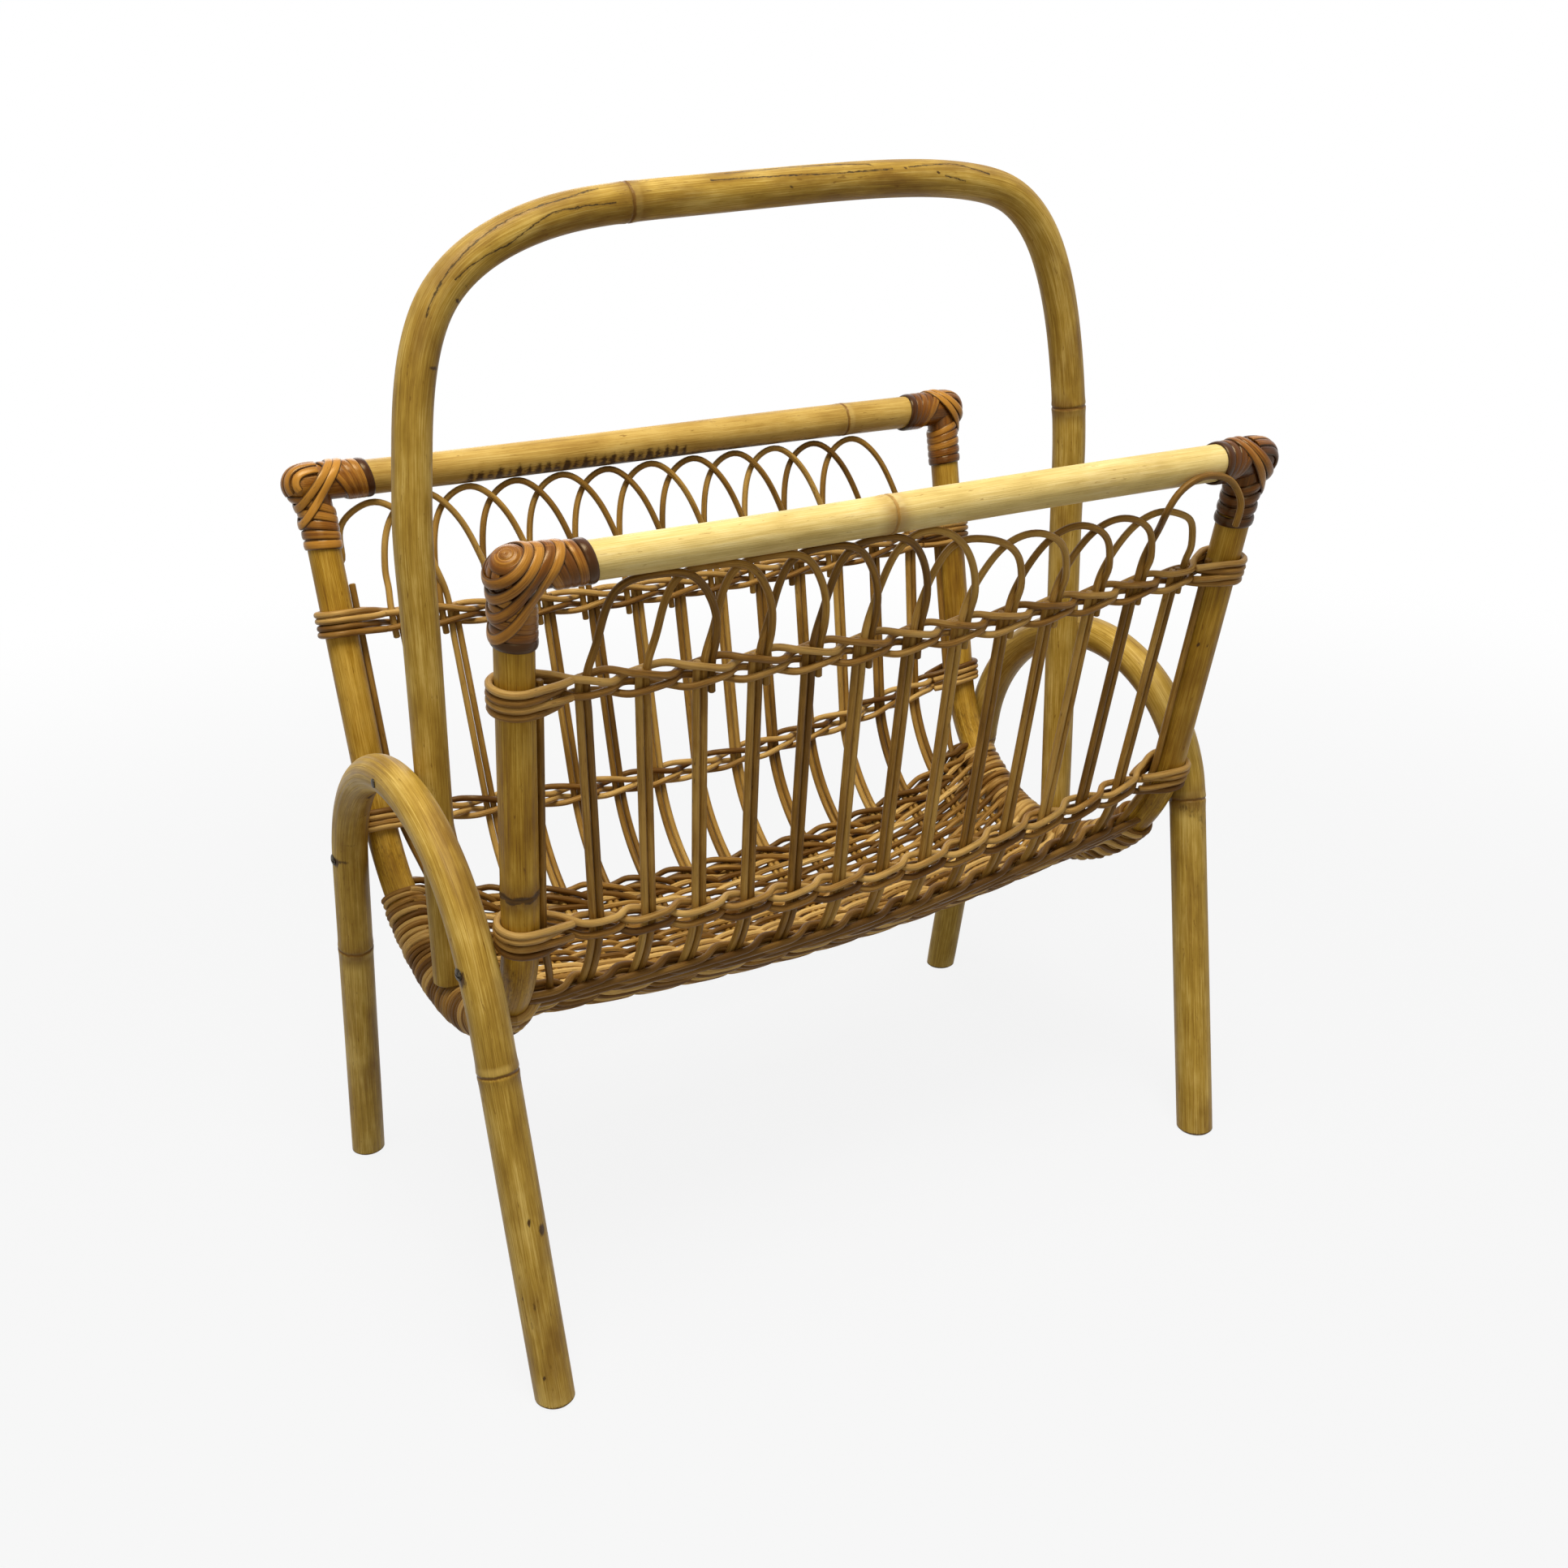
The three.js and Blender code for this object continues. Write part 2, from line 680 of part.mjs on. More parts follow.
function legArch(side) {
  const points = [];
  for (const face of [-1, 1]) {
    const { radius, centre, angle, legOut, legTop } = archSide(side, face);
    const places = [];
    for (let i = 0; i < legSteps; i++) {
      const height = THREE.MathUtils.lerp(-legDiameter(side, face) / 2, legTop, i / legSteps);
      places.push([THREE.MathUtils.lerp(footHalfDepth, legOut, height / legTop), height]);
    }
    for (let i = 0; i <= archSteps; i++) {
      const turned = THREE.MathUtils.lerp(angle, Math.PI / 2, i / archSteps);
      places.push([centre.out + radius * Math.cos(turned), centre.z + radius * Math.sin(turned)]);
    }
    const half = places.map(([out, z]) => point(side * archAt(side, face, z), face * out, z));
    if (face < 0) points.push(...half);
    else points.push(...half.reverse().slice(1));
  }
  const last = points.length - 1;
  const radii = points.map((_, i) =>
    THREE.MathUtils.lerp(legDiameter(side, -1) / 2, legDiameter(side, 1) / 2, i / last),
  );
  const deep = Math.max(...radii) + overrun;
  const wide = 2 * (footHalfDepth + 2 * deep);
  const ground = new THREE.BoxGeometry(2 * wide, wide, 2 * deep).translate(0, 0, -deep);
  const tools = [ground, holeFor(nailOf(side))];
  for (const face of [-1, 1]) tools.push(holeFor(screwOf(side, face)));
  return cut(pole(points, point(side, 0, 0), radii), tools);
}

// Basket frames, coped under the rails
function basketFrame(side) {
  const points = [];
  for (let i = -bendSteps; i <= bendSteps; i++)
    points.push(framePoint(side, (bendGirth * i) / bendSteps));
  points.unshift(framePoint(side, -railGirth));
  points.push(framePoint(side, railGirth));
  const tools = [holeFor(footPinOf(side))];
  for (const face of [-1, 1]) {
    tools.push(railRod(face, poleGap));
    tools.push(holeFor(screwOf(side, face)));
    tools.push(holeFor(railPinOf(side, face)));
  }
  return cut(pole(points, point(side, 0, 0), points.map(() => frameRadius)), tools);
}

// Rails
function railEnd(side, face) {
  const overhang = side + face < 0 ? shortRailOverhang : railOverhang;
  return point(side * (frameAt(railHeight) + overhang), face * railY, railHeight);
}

function railRod(face, margin) {
  const [left, right] = [-1, 1].map((side) => railDiameter(side, face) / 2 + margin);
  return rod(railEnd(-1, face), railEnd(1, face), left, right, poleSides);
}

function rail(face) {
  const [left, right] = [-1, 1].map(
    (side) => (railDiameter(side, face) / 2) * Math.cos(Math.PI / poleSides),
  );
  const geometry = rod(railEnd(-1, face), railEnd(1, face), left, right, poleSides);
  return cut(geometry, [holeFor(railPinOf(-1, face)), holeFor(railPinOf(1, face))]);
}

// Reeds
function placeAt(place, girth) {
  const steps = place - middlePlace;
  const side = Math.sign(steps);
  if (Math.abs(steps) === middlePlace) return side * endReedAt(Math.abs(girth));
  const share = (Math.abs(girth) - bendGirth) / (upperPitchGirth - bendGirth);
  return steps * THREE.MathUtils.lerp(lowerPitch, upperPitch, THREE.MathUtils.clamp(share, 0, 1));
}

// The end reeds stand beside the stiles, and beside the windings at the floor
function endReedAt(girth) {
  const beside = frameAt(section(girth).z) - frameRadius - reedRadius - 2 * poleGap;
  const share = (girth - floorHalfGirth) / (bendGirth - floorHalfGirth);
  const eased = THREE.MathUtils.smoothstep(share, 0, 1);
  return THREE.MathUtils.lerp(floorReedHalfLength, beside, eased);
}

// The girth of the upper row where it crosses a reed
function upperGirthAt(face, place) {
  return girthAt(between(upperRowHeight, face, placeAt(place, upperPitchGirth)));
}

// Where a reed stands, with its lean from its lower offset to its upper one at the upper row
function reedAt(face, place, girth, lower, upper) {
  const share = (girth - bendGirth) / (upperGirthAt(face, place) - bendGirth);
  const lean = THREE.MathUtils.lerp(lower, upper, THREE.MathUtils.clamp(share, 0, 1));
  return placeAt(place, girth) + lean;
}

// A reed's points from the back to the front
function reedBody(place, offsets, backRise) {
  const points = [];
  const add = (face, girth) => {
    const x = reedAt(face, place, girth, offsets.lower, face > 0 ? offsets.back : offsets.front);
    points.push(wovenPoint(x, face * girth));
  };
  add(1, upperGirthAt(1, place) + backRise);
  add(1, upperGirthAt(1, place));
  for (let i = sideBendSteps; i >= -sideBendSteps; i--) add(Math.sign(i), Math.abs(i) * bendStep);
  add(-1, upperGirthAt(-1, place));
  add(-1, upperGirthAt(-1, place) + reedStubRise);
  return points;
}

// The arch of a reed from its place to a landing place on the same side
function reedArch(face, place, direction) {
  const start = placeAt(place, upperGirthAt(face, place));
  const landing = place + direction * spannedPlaces;
  if (Math.abs(landing - middlePlace) === middlePlace) return lastArch(face, start, direction);
  const beside = (girth) =>
    reedAt(face, landing, girth, (3 / 2) * direction * reedStep, direction * reedStep);
  const span = beside(upperGirthAt(face, landing)) - start;
  const points = reedArchShares.map(([along, rise, swing]) =>
    archPoint(face, start + along * span, rise, swing * reedSwing),
  );
  const tail = upperGirthAt(face, landing) - reedTailDrop;
  points.push(wovenPoint(beside(tail), face * tail));
  return points;
}

// A point of an arch: along the basket, up from the row as a share of the rise, and out
function archPoint(face, x, rise, out) {
  const row = between(upperRowHeight, face, x);
  const height = THREE.MathUtils.lerp(row, archTopHeight(face, x), rise);
  return wovenPoint(x, face * girthAt(height), out);
}

// The last arch at an end lands on the lashing of the stile
function lastArch(face, start, direction) {
  const reach = stileLaceRound + laceThickness + reedGap + reedRadius;
  const beside = reach * Math.SQRT1_2;
  const span = direction * (frameAt(railHeight) - beside) - start;
  const points = reedArchShares
    .filter(([along, rise]) => along < 1 && rise > 0)
    .map(([along, rise, swing]) =>
      archPoint(face, start + along * span, rise, swing * (swing > 0 ? beside : reedSwing)),
    );
  points.push(archPoint(face, start + span, lastLandingShare, beside));
  return points;
}

function pairedReed(face, place) {
  const direction = -face; // front reeds arch to the right, back reeds to the left
  const offsets = { lower: (direction * reedStep) / 2, front: 0, back: 0 };
  if (face < 0) offsets.back = reedStep;
  else offsets.front = -reedStep;
  const points = reedBody(place, offsets, reedStubRise);
  const arches = Math.abs(place + direction * spannedPlaces - middlePlace) <= middlePlace;
  if (arches && face < 0) points.splice(-1, 1, ...reedArch(face, place, direction));
  if (arches && face > 0) points.splice(0, 1, ...reedArch(face, place, direction).reverse());
  return tube(points, reedRadius, reedSides);
}

function endReed(side) {
  const place = middlePlace + side * middlePlace;
  const points = reedBody(place, { lower: 0, front: 0, back: 0 }, endReedRise);
  return tube(points, reedRadius, reedSides);
}

// Lashings: turns round the rail, over the outside of the corner and turns round the stile
function cornerLace(side, face) {
  const railOff = railLaceRound(railDiameter(side, face) / 2) + laceThickness / 2;
  const stileOff = stileLaceRound + laceThickness / 2;
  const corner = point(side * frameAt(railHeight), face * railY, railHeight);
  const down = framePoint(side, face * bendGirth).sub(corner).normalize();
  const along = point(side, 0, 0);
  const outer = point(0, face, 0);
  const top = point(0, 0, 1);
  const stileOuter = outer.clone().addScaledVector(down, -outer.dot(down)).normalize();
  const stileSide = down.clone().cross(stileOuter);
  stileSide.multiplyScalar(Math.sign(stileSide.x * side));
  const points = [];
  const outwards = [];
  const add = (at, outward) => {
    points.push(at);
    outwards.push(outward.clone());
  };
  for (let i = -railLaceLoops * laceLoopSteps; i <= 0; i++) {
    const turn = (2 * Math.PI * i) / laceLoopSteps;
    const reach = laceCornerReach - (lacePitch * i) / laceLoopSteps;
    const outward = outer.clone().multiplyScalar(Math.cos(turn)).addScaledVector(top, -Math.sin(turn));
    add(corner.clone().addScaledVector(along, -reach).addScaledVector(outward, railOff), outward);
  }
  const from = points.at(-1);
  const to = corner
    .clone()
    .addScaledVector(down, laceCornerDrop)
    .addScaledVector(stileOuter, stileOff);
  for (let i = 1; i < laceCornerSteps; i++) {
    const angle = ((Math.PI / 2) * i) / laceCornerSteps;
    const gone = to.clone().sub(from);
    const at = from.clone();
    at.addScaledVector(along, gone.dot(along) * (1 - Math.cos(angle)));
    at.addScaledVector(top, gone.z * Math.sin(angle));
    at.addScaledVector(outer, (gone.y * face * i) / laceCornerSteps);
    add(at, outer);
  }
  for (let i = 0; i <= stileLaceLoops * laceLoopSteps; i++) {
    const turn = (2 * Math.PI * i) / laceLoopSteps;
    const drop = laceCornerDrop + (lacePitch * i) / laceLoopSteps;
    const outward = stileOuter
      .clone()
      .multiplyScalar(Math.cos(turn))
      .addScaledVector(stileSide, Math.sin(turn));
    add(corner.clone().addScaledVector(down, drop).addScaledVector(outward, stileOff), outward);
  }
  withStraightEnds(points, outwards, laceWidth);
  const name = `${faceName(face)}_${endName(side)}_binding`;
  return wound(name, points, outwards, laceWidth, laceThickness, laceLoopSteps);
}

// Screws, nails and pins: where each starts, which way it goes, how long and how thick it is
function screwOf(side, face) {
  const underRow = lowerRowHeight(side, face) - rowWidth / 2 - screwShankDiameter / 2 - 2 * poleGap;
  const height = Math.min(crossingHeight(side, face), underRow);
  const radius = legDiameter(side, face) / 2;
  const axis = archAt(side, face, height);
  const out = (archOutAt(side, face, height) + section(girthAt(height)).y) / 2;
  return {
    from: point(side * (axis + radius + poleGap), face * out, height),
    towards: point(-side, 0, 0),
    length: axis + radius + poleGap - frameAt(height) - frameRadius + fastenerGrip,
    diameter: screwShankDiameter,
  };
}

function nailOf(side) {
  const height = archHeight(side);
  const thick = Math.max(legDiameter(side, -1), legDiameter(side, 1));
  const outer = handleOutsideAt(side, height) + thick + 2 * poleGap;
  return {
    from: point(side * outer, archSetBack(side), height),
    towards: point(-side, 0, 0),
    length: thick + 2 * poleGap + fastenerGrip,
    diameter: nailShankDiameter,
  };
}

function footPinOf(side) {
  return {
    from: point(side * frameAt(floorBarHeight), 0, floorBarHeight - frameRadius + pinSink),
    towards: point(0, 0, 1),
    length: handleFootHeight - floorBarHeight + frameRadius - pinSink + fastenerGrip,
    diameter: pinDiameter,
  };
}

function railPinOf(side, face) {
  const radius = railDiameter(side, face) / 2;
  const corner = point(side * frameAt(railHeight), face * railY, railHeight);
  const towards = framePoint(side, face * bendGirth).sub(corner).normalize();
  return {
    from: corner.clone().addScaledVector(towards, pinSink - radius),
    towards,
    length: 2 * radius - pinSink + fastenerGrip,
    diameter: pinDiameter,
  };
}

// A round shank with a pointed end, under a domed head or none
function fastener({ from, towards, length, diameter }, headDiameter = 0, headHeight = 0) {
  const shank = diameter / 2;
  const head = headDiameter / 2;
  const outline = [
    [0, -length],
    [shank / 2, -length],
    [shank, shank - length],
    [shank, 0],
  ];
  if (headHeight > 0) outline.push([head, 0], [head, headHeight / 2], [head / 2, headHeight]);
  outline.push([0, headHeight]);
  const profile = outline.map(([r, z]) => new THREE.Vector2(r, z));
  const turn = new THREE.Quaternion().setFromUnitVectors(point(0, -1, 0), towards);
  const geometry = new THREE.LatheGeometry(profile, fastenerSides).applyQuaternion(turn);
  return geometry.translate(from.x, from.y, from.z);
}

function holeFor({ from, towards, length, diameter }) {
  const start = from.clone().addScaledVector(towards, -pinSink - overrun);
  const end = from.clone().addScaledVector(towards, length + poleGap);
  const radius = diameter / 2 + poleGap;
  return rod(start, end, radius, radius, fastenerSides);
}

// The basket
const basket = new THREE.Group();
const endName = (side) => (side < 0 ? "left" : "right");
const faceName = (face) => (face < 0 ? "front" : "back");

function add(name, geometry, material) {
  const mesh = new THREE.Mesh(geometry, material);
  mesh.name = name;
  basket.add(mesh);
}

add("handle_arch", handleArch(), bamboo);
add("woven_floor", wovenFloor(), cane);

for (const side of [-1, 1]) {
  const end = endName(side);
  add(`${end}_leg_arch`, legArch(side), bamboo);
  add(`${end}_basket_frame`, basketFrame(side), bamboo);
  add(`${end}_floor_winding`, floorWinding(side), cane);
  add(`${end}_end_reed`, endReed(side), reedWood);
  add(`${end}_handle_nail`, fastener(nailOf(side), nailHeadDiameter, nailHeadHeight), steel);
  add(`${end}_foot_pin`, fastener(footPinOf(side)), steel);
}

for (const face of [-1, 1]) {
  const front = faceName(face);
  add(`${front}_rail`, rail(face), paleBamboo);
  add(`${front}_upper_row`, twinedRow(face, upperRowHeight, upperRowSteps), cane);
  add(`${front}_lower_row`, twinedRow(face, lowerRowHeight, lowerRowSteps), cane);
  for (let place = 1; place < reedPlaces - 1; place++) {
    const number = String(place).padStart(2, "0");
    add(`reed_${front}_${number}`, pairedReed(face, place), reedWood);
  }
  for (const side of [-1, 1]) {
    const corner = `${front}_${endName(side)}`;
    add(`${corner}_binding`, cornerLace(side, face), laceCane);
    add(
      `${corner}_screw`,
      fastener(screwOf(side, face), screwHeadDiameter, screwHeadHeight),
      steel,
    );
    add(`${corner}_rail_pin`, fastener(railPinOf(side, face)), steel);
  }
}

export default basket;
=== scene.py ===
import math

import bpy
import numpy as np
from mathutils import Matrix, Vector


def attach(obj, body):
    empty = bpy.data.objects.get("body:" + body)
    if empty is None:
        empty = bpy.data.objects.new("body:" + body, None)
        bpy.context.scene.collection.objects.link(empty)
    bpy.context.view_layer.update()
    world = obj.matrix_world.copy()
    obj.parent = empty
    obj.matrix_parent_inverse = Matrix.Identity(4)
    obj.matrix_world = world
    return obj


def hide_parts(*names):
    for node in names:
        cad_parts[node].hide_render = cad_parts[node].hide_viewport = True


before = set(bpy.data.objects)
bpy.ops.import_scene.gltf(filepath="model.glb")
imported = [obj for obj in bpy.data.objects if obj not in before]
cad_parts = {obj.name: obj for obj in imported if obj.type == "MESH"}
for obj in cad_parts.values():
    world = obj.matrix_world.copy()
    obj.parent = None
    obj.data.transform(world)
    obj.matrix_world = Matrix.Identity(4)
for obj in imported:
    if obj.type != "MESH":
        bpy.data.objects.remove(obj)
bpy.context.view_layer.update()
chance = np.random.default_rng(7)

# Poles, as in the CAD where no comment says otherwise
HANDLE_DIAMETER = 0.0186
HANDLE_FOOT_DIAMETER = {-1: 0.0158, 1: 0.0174}
FRAME_DIAMETER = 0.0172
LEG_DIAMETER = {(-1, -1): 0.0192, (-1, 1): 0.0188, (1, -1): 0.0204, (1, 1): 0.0192}
RAIL_DIAMETER = {(-1, -1): 0.0168, (-1, 1): 0.0183, (1, -1): 0.0189, (1, 1): 0.0197}
FRAME_HALF_LENGTH = 0.2
LEAN_HEIGHT = 0.227
LEAN_SHARE = 0.04
FLOOR_BAR_HEIGHT = 0.1484
BEND_RADIUS = 0.0942
FLARE_SHARE = 0.1975
RAIL_HEIGHT = 0.3955
RAIL_SHOWN_OVERHANG = 0.002  # the rest of the rail's end is under the lashing
ARCH_HEIGHT = {-1: 0.271, 1: 0.2732}
ARCH_SET_BACK = {-1: 0.0055, 1: -0.0026}
ARCH_RADIUS = {(-1, -1): 0.102, (-1, 1): 0.081, (1, -1): 0.089, (1, 1): 0.0917}
FOOT_HALF_DEPTH = 0.1253
FOOT_REACH = {(-1, -1): 0.2132, (-1, 1): 0.215, (1, -1): 0.2055, (1, 1): 0.2145}
HANDLE_BEND_HEIGHT = 0.3895
HANDLE_TOP_HEIGHT = 0.5352  # 0.1 mm under the CAD's, as room for the waves of the pole
HANDLE_FOOT_REACH = 0.2014
HANDLE_OUTLINE_SHARES = [
    (-0.99, 0.18), (-0.972, 0.4), (-0.942, 0.575), (-0.898, 0.7), (-0.825, 0.802),
    (-0.715, 0.884), (-0.56, 0.943), (-0.4, 0.966), (-0.2, 0.98), (0.0, 0.993),
    (0.22, 1.005), (0.42, 1.008), (0.62, 0.988), (0.76, 0.932), (0.855, 0.815),
    (0.912, 0.67), (0.95, 0.505), (0.98, 0.29),
]
TOUCH = 0.0003

SIDES = {-1: "left", 1: "right"}
FACES = {-1: "front", 1: "back"}

# Reeds, as in the CAD but for shorter stubs and steeper arches at the left of the front
REED_RADIUS = 0.0018
REED_GAP = 0.00035
REED_PLACES = 15
LOWER_PITCH = 0.027
UPPER_PITCH = 0.0286
UPPER_PITCH_HEIGHT = 0.338
STUB_RISE = 0.0052
END_REED_RISE = 0.02
SPANNED_PLACES = 2
TAIL_DROP = 0.0084
REED_SWING = 0.0022
# Points of an arch as shares of its span, of the rise to its top and of the swing of the reed
REED_ARCH_SHARES = np.array([
    (0.0, 0.17, 0.0), (0.03, 0.255, -0.5), (0.08, 0.37, -1.0), (0.2, 0.66, -1.0),
    (0.36, 0.88, -0.95), (0.56, 1.0, 0.0), (0.76, 0.945, 0.95), (0.92, 0.75, 1.0),
    (0.98, 0.5, 1.0), (0.99, 0.37, 1.0), (0.99, 0.26, 0.5), (1.0, 0.17, 0.0),
])
STEEP_ARCH_SHARES = np.array([
    (0.0, 0.17, 0.0), (0.03, 0.255, -0.5), (0.07, 0.37, -1.0), (0.12, 0.66, -1.0),
    (0.23, 0.92, -0.95), (0.5, 1.0, 0.0), (0.76, 0.955, 0.9), (0.9, 0.77, 1.0),
    (0.985, 0.5, 1.0), (0.995, 0.37, 0.9), (1.0, 0.26, 0.5), (1.0, 0.17, 0.0),
])
STEEP_UNTIL, LEANING_FROM = -0.12, 0.06  # where an arch of the front starts
LASHING_FROM, LASHING_FULL = 0.152, 0.166
ARCH_DIP = 0.0021  # of the arches under the lashings
LAST_LANDING_SHARE = 0.5
LAST_ARCH_UNTIL = 0.985

# Rows and floor
UPPER_ROW_HEIGHT = {(-1, -1): 0.342, (-1, 1): 0.323, (1, -1): 0.338, (1, 1): 0.318}
LOWER_ROW_HEIGHT = {(-1, -1): 0.224, (-1, 1): 0.219, (1, -1): 0.217, (1, 1): 0.23}
ROW_FLARE_LENGTH = 0.021
STRAND_RADIUS = 0.00175
PAIR_APART = 0.0064  # between the middles of the two pairs of a row
LEVEL_APART = 0.0034  # between the strands where they go round a stile
WRAP_ANGLE = math.radians(108)
FLOOR_SAG = 0.0137
LOWER_ROW_SAG = 0.019
UPPER_ROW_SAG = 0.0084
ARCH_HANG = 0.0095
HANG_SHARES = (0.0, 0.22, 0.75, 0.97)
WEAVERS = 48
WEAVER_RADIUS = 0.00165
WEAVER_APART = 0.00337  # at the ends of the floor
WINDING_THICKNESS = 0.0027
WINDING_HALF_ANGLE = math.radians(49.5)

# Lashings
LACE_WIDTH = 0.0047
LACE_THICKNESS = 0.0012

# Derived sizes
FLARE = math.atan(FLARE_SHARE)
BEND_CENTRE = FLOOR_BAR_HEIGHT + BEND_RADIUS
BEND_GIRTH = BEND_RADIUS * (math.pi / 2 - FLARE)
FRAME_RADIUS = FRAME_DIAMETER / 2
HANDLE_RADIUS = HANDLE_DIAMETER / 2
REED_STEP = 2 * REED_RADIUS + REED_GAP
MIDDLE_PLACE = (REED_PLACES - 1) // 2
FLOOR_HALF_GIRTH = BEND_GIRTH * 3 / 5
WINDING_OUTER = FRAME_RADIUS + WINDING_THICKNESS


def lerp(a, b, share):
    return a + (b - a) * share


def clamp(value, low=0.0, high=1.0):
    return min(max(value, low), high)


def smoothstep(value, low, high):
    share = np.clip((value - low) / (high - low), 0, 1)
    return share * share * (3 - 2 * share)


def unit(vector):
    vector = np.asarray(vector, float)
    return vector / np.linalg.norm(vector)


# The section of the basket by girth: zero under the middle, positive to the back
def section(girth):
    side = 1 if girth > 0 else -1
    beyond = max(abs(girth) - BEND_GIRTH, 0)
    angle = side * BEND_GIRTH / BEND_RADIUS if beyond > 0 else girth / BEND_RADIUS
    out = (math.sin(angle), -math.cos(angle))
    y = BEND_RADIUS * out[0] + side * beyond * math.sin(FLARE)
    z = BEND_CENTRE + BEND_RADIUS * out[1] + beyond * math.cos(FLARE)
    return y, z, out


STRAIGHT_FROM = section(BEND_GIRTH)[1]


def girth_at(height):
    if height >= STRAIGHT_FROM:
        return BEND_GIRTH + (height - STRAIGHT_FROM) / math.cos(FLARE)
    return BEND_RADIUS * math.acos((BEND_CENTRE - height) / BEND_RADIUS)


def frame_at(height):
    return FRAME_HALF_LENGTH + LEAN_SHARE * (height - LEAN_HEIGHT)


def frame_point(side, girth):
    y, z, _ = section(girth)
    return np.array((side * frame_at(z), y, z))


def between(sizes, face, x):
    return lerp(sizes[-1, face], sizes[1, face], (x / FRAME_HALF_LENGTH + 1) / 2)


UPPER_PITCH_GIRTH = girth_at(UPPER_PITCH_HEIGHT)
RAIL_GIRTH = girth_at(RAIL_HEIGHT)
RAIL_Y = section(RAIL_GIRTH)[0]


def arch_top(face, x):
    radius = between(RAIL_DIAMETER, face, x) / 2
    under = smoothstep(abs(x), LASHING_FROM, LASHING_FULL)
    return RAIL_HEIGHT - radius - TOUCH - REED_RADIUS - ARCH_DIP * under


def hang(face, x):
    start, full, until, end = (share * FRAME_HALF_LENGTH for share in HANG_SHARES)
    if face > 0:
        return 0.0
    return ARCH_HANG * smoothstep(x, start, full) * (1 - smoothstep(x, until, end))


def sag(face, x, height):
    across = math.cos(math.pi / 2 * clamp(x / FRAME_HALF_LENGTH, -1, 1))
    levels = (FLOOR_BAR_HEIGHT, between(LOWER_ROW_HEIGHT, face, x),
              between(UPPER_ROW_HEIGHT, face, x), arch_top(face, x))
    sags = (FLOOR_SAG * across, LOWER_ROW_SAG * across, UPPER_ROW_SAG * across, hang(face, x))
    return float(np.interp(height, levels, sags))


# A point of the woven part: along the basket, round its section and out from it
def woven_point(x, girth, outwards=0.0):
    y, z, out = section(girth)
    face = 1 if girth > 0 else -1
    return np.array((x, y + outwards * out[0], z + outwards * out[1] - sag(face, x, z)))


FLOOR_REED_HALF_LENGTH = frame_at(FLOOR_BAR_HEIGHT) - WINDING_OUTER - 0.006


def end_reed_at(girth):
    beside = frame_at(section(girth)[1]) - FRAME_RADIUS - REED_RADIUS - 2 * TOUCH
    eased = smoothstep(girth, FLOOR_HALF_GIRTH, BEND_GIRTH)
    return lerp(FLOOR_REED_HALF_LENGTH, beside, eased)


def place_at(place, girth):
    steps = place - MIDDLE_PLACE
    if abs(steps) == MIDDLE_PLACE:
        return math.copysign(end_reed_at(abs(girth)), steps)
    share = (abs(girth) - BEND_GIRTH) / (UPPER_PITCH_GIRTH - BEND_GIRTH)
    return steps * lerp(LOWER_PITCH, UPPER_PITCH, clamp(share))


def upper_girth(face, place):
    return girth_at(between(UPPER_ROW_HEIGHT, face, place_at(place, UPPER_PITCH_GIRTH)))


def reed_at(face, place, girth, lower, upper):
    share = (girth - BEND_GIRTH) / (upper_girth(face, place) - BEND_GIRTH)
    return place_at(place, girth) + lerp(lower, upper, clamp(share))


# Smooth curves
def spline(points, count):
    points = np.asarray(points, float)
    gaps = np.linalg.norm(np.diff(points, axis=0), axis=1)
    at = np.concatenate(([0], np.cumsum(gaps)))
    size = len(points)
    system = np.eye(size)
    right = np.zeros((size, 3))
    for i in range(1, size - 1):
        system[i, i - 1:i + 2] = gaps[i - 1], 2 * (gaps[i - 1] + gaps[i]), gaps[i]
        rise = (points[i + 1] - points[i]) / gaps[i] - (points[i] - points[i - 1]) / gaps[i - 1]
        right[i] = 6 * rise
    bends = np.linalg.solve(system, right)
    t = np.linspace(0, at[-1], count)
    k = np.clip(np.searchsorted(at, t, side="right") - 1, 0, size - 2)
    h = gaps[k][:, None]
    a = ((at[k + 1] - t)[:, None]) / h
    b = 1 - a
    curved = ((a**3 - a) * bends[k] + (b**3 - b) * bends[k + 1]) * h**2 / 6
    return a * points[k] + b * points[k + 1] + curved


def lengths(points):
    return np.concatenate(([0], np.cumsum(np.linalg.norm(np.diff(points, axis=0), axis=1))))


def resample(points, stations):
    along = lengths(points)
    return np.stack([np.interp(stations, along, points[:, k]) for k in range(3)], axis=1)


def evenly(points, step):
    total = lengths(points)[-1]
    return resample(points, np.linspace(0, total, max(int(total / step), 2) + 1))


def smoothed(points, rounds):
    points = points.copy()
    for _ in range(rounds):
        points[1:-1] = (points[:-2] + 2 * points[1:-1] + points[2:]) / 4
    return points


# Solids swept along a path, gathered into one mesh. Each point keeps its place in the wood, the
# wood's tone, its distance from the rings and cracks, and how stained it is or how much painted
# shade it gets
FIELD_KINDS = {"grain": "FLOAT_VECTOR", "age": "FLOAT", "mark": "FLOAT_VECTOR", "stain_and_shade": "FLOAT"}
SMOOTH_UNTIL = math.radians(38)


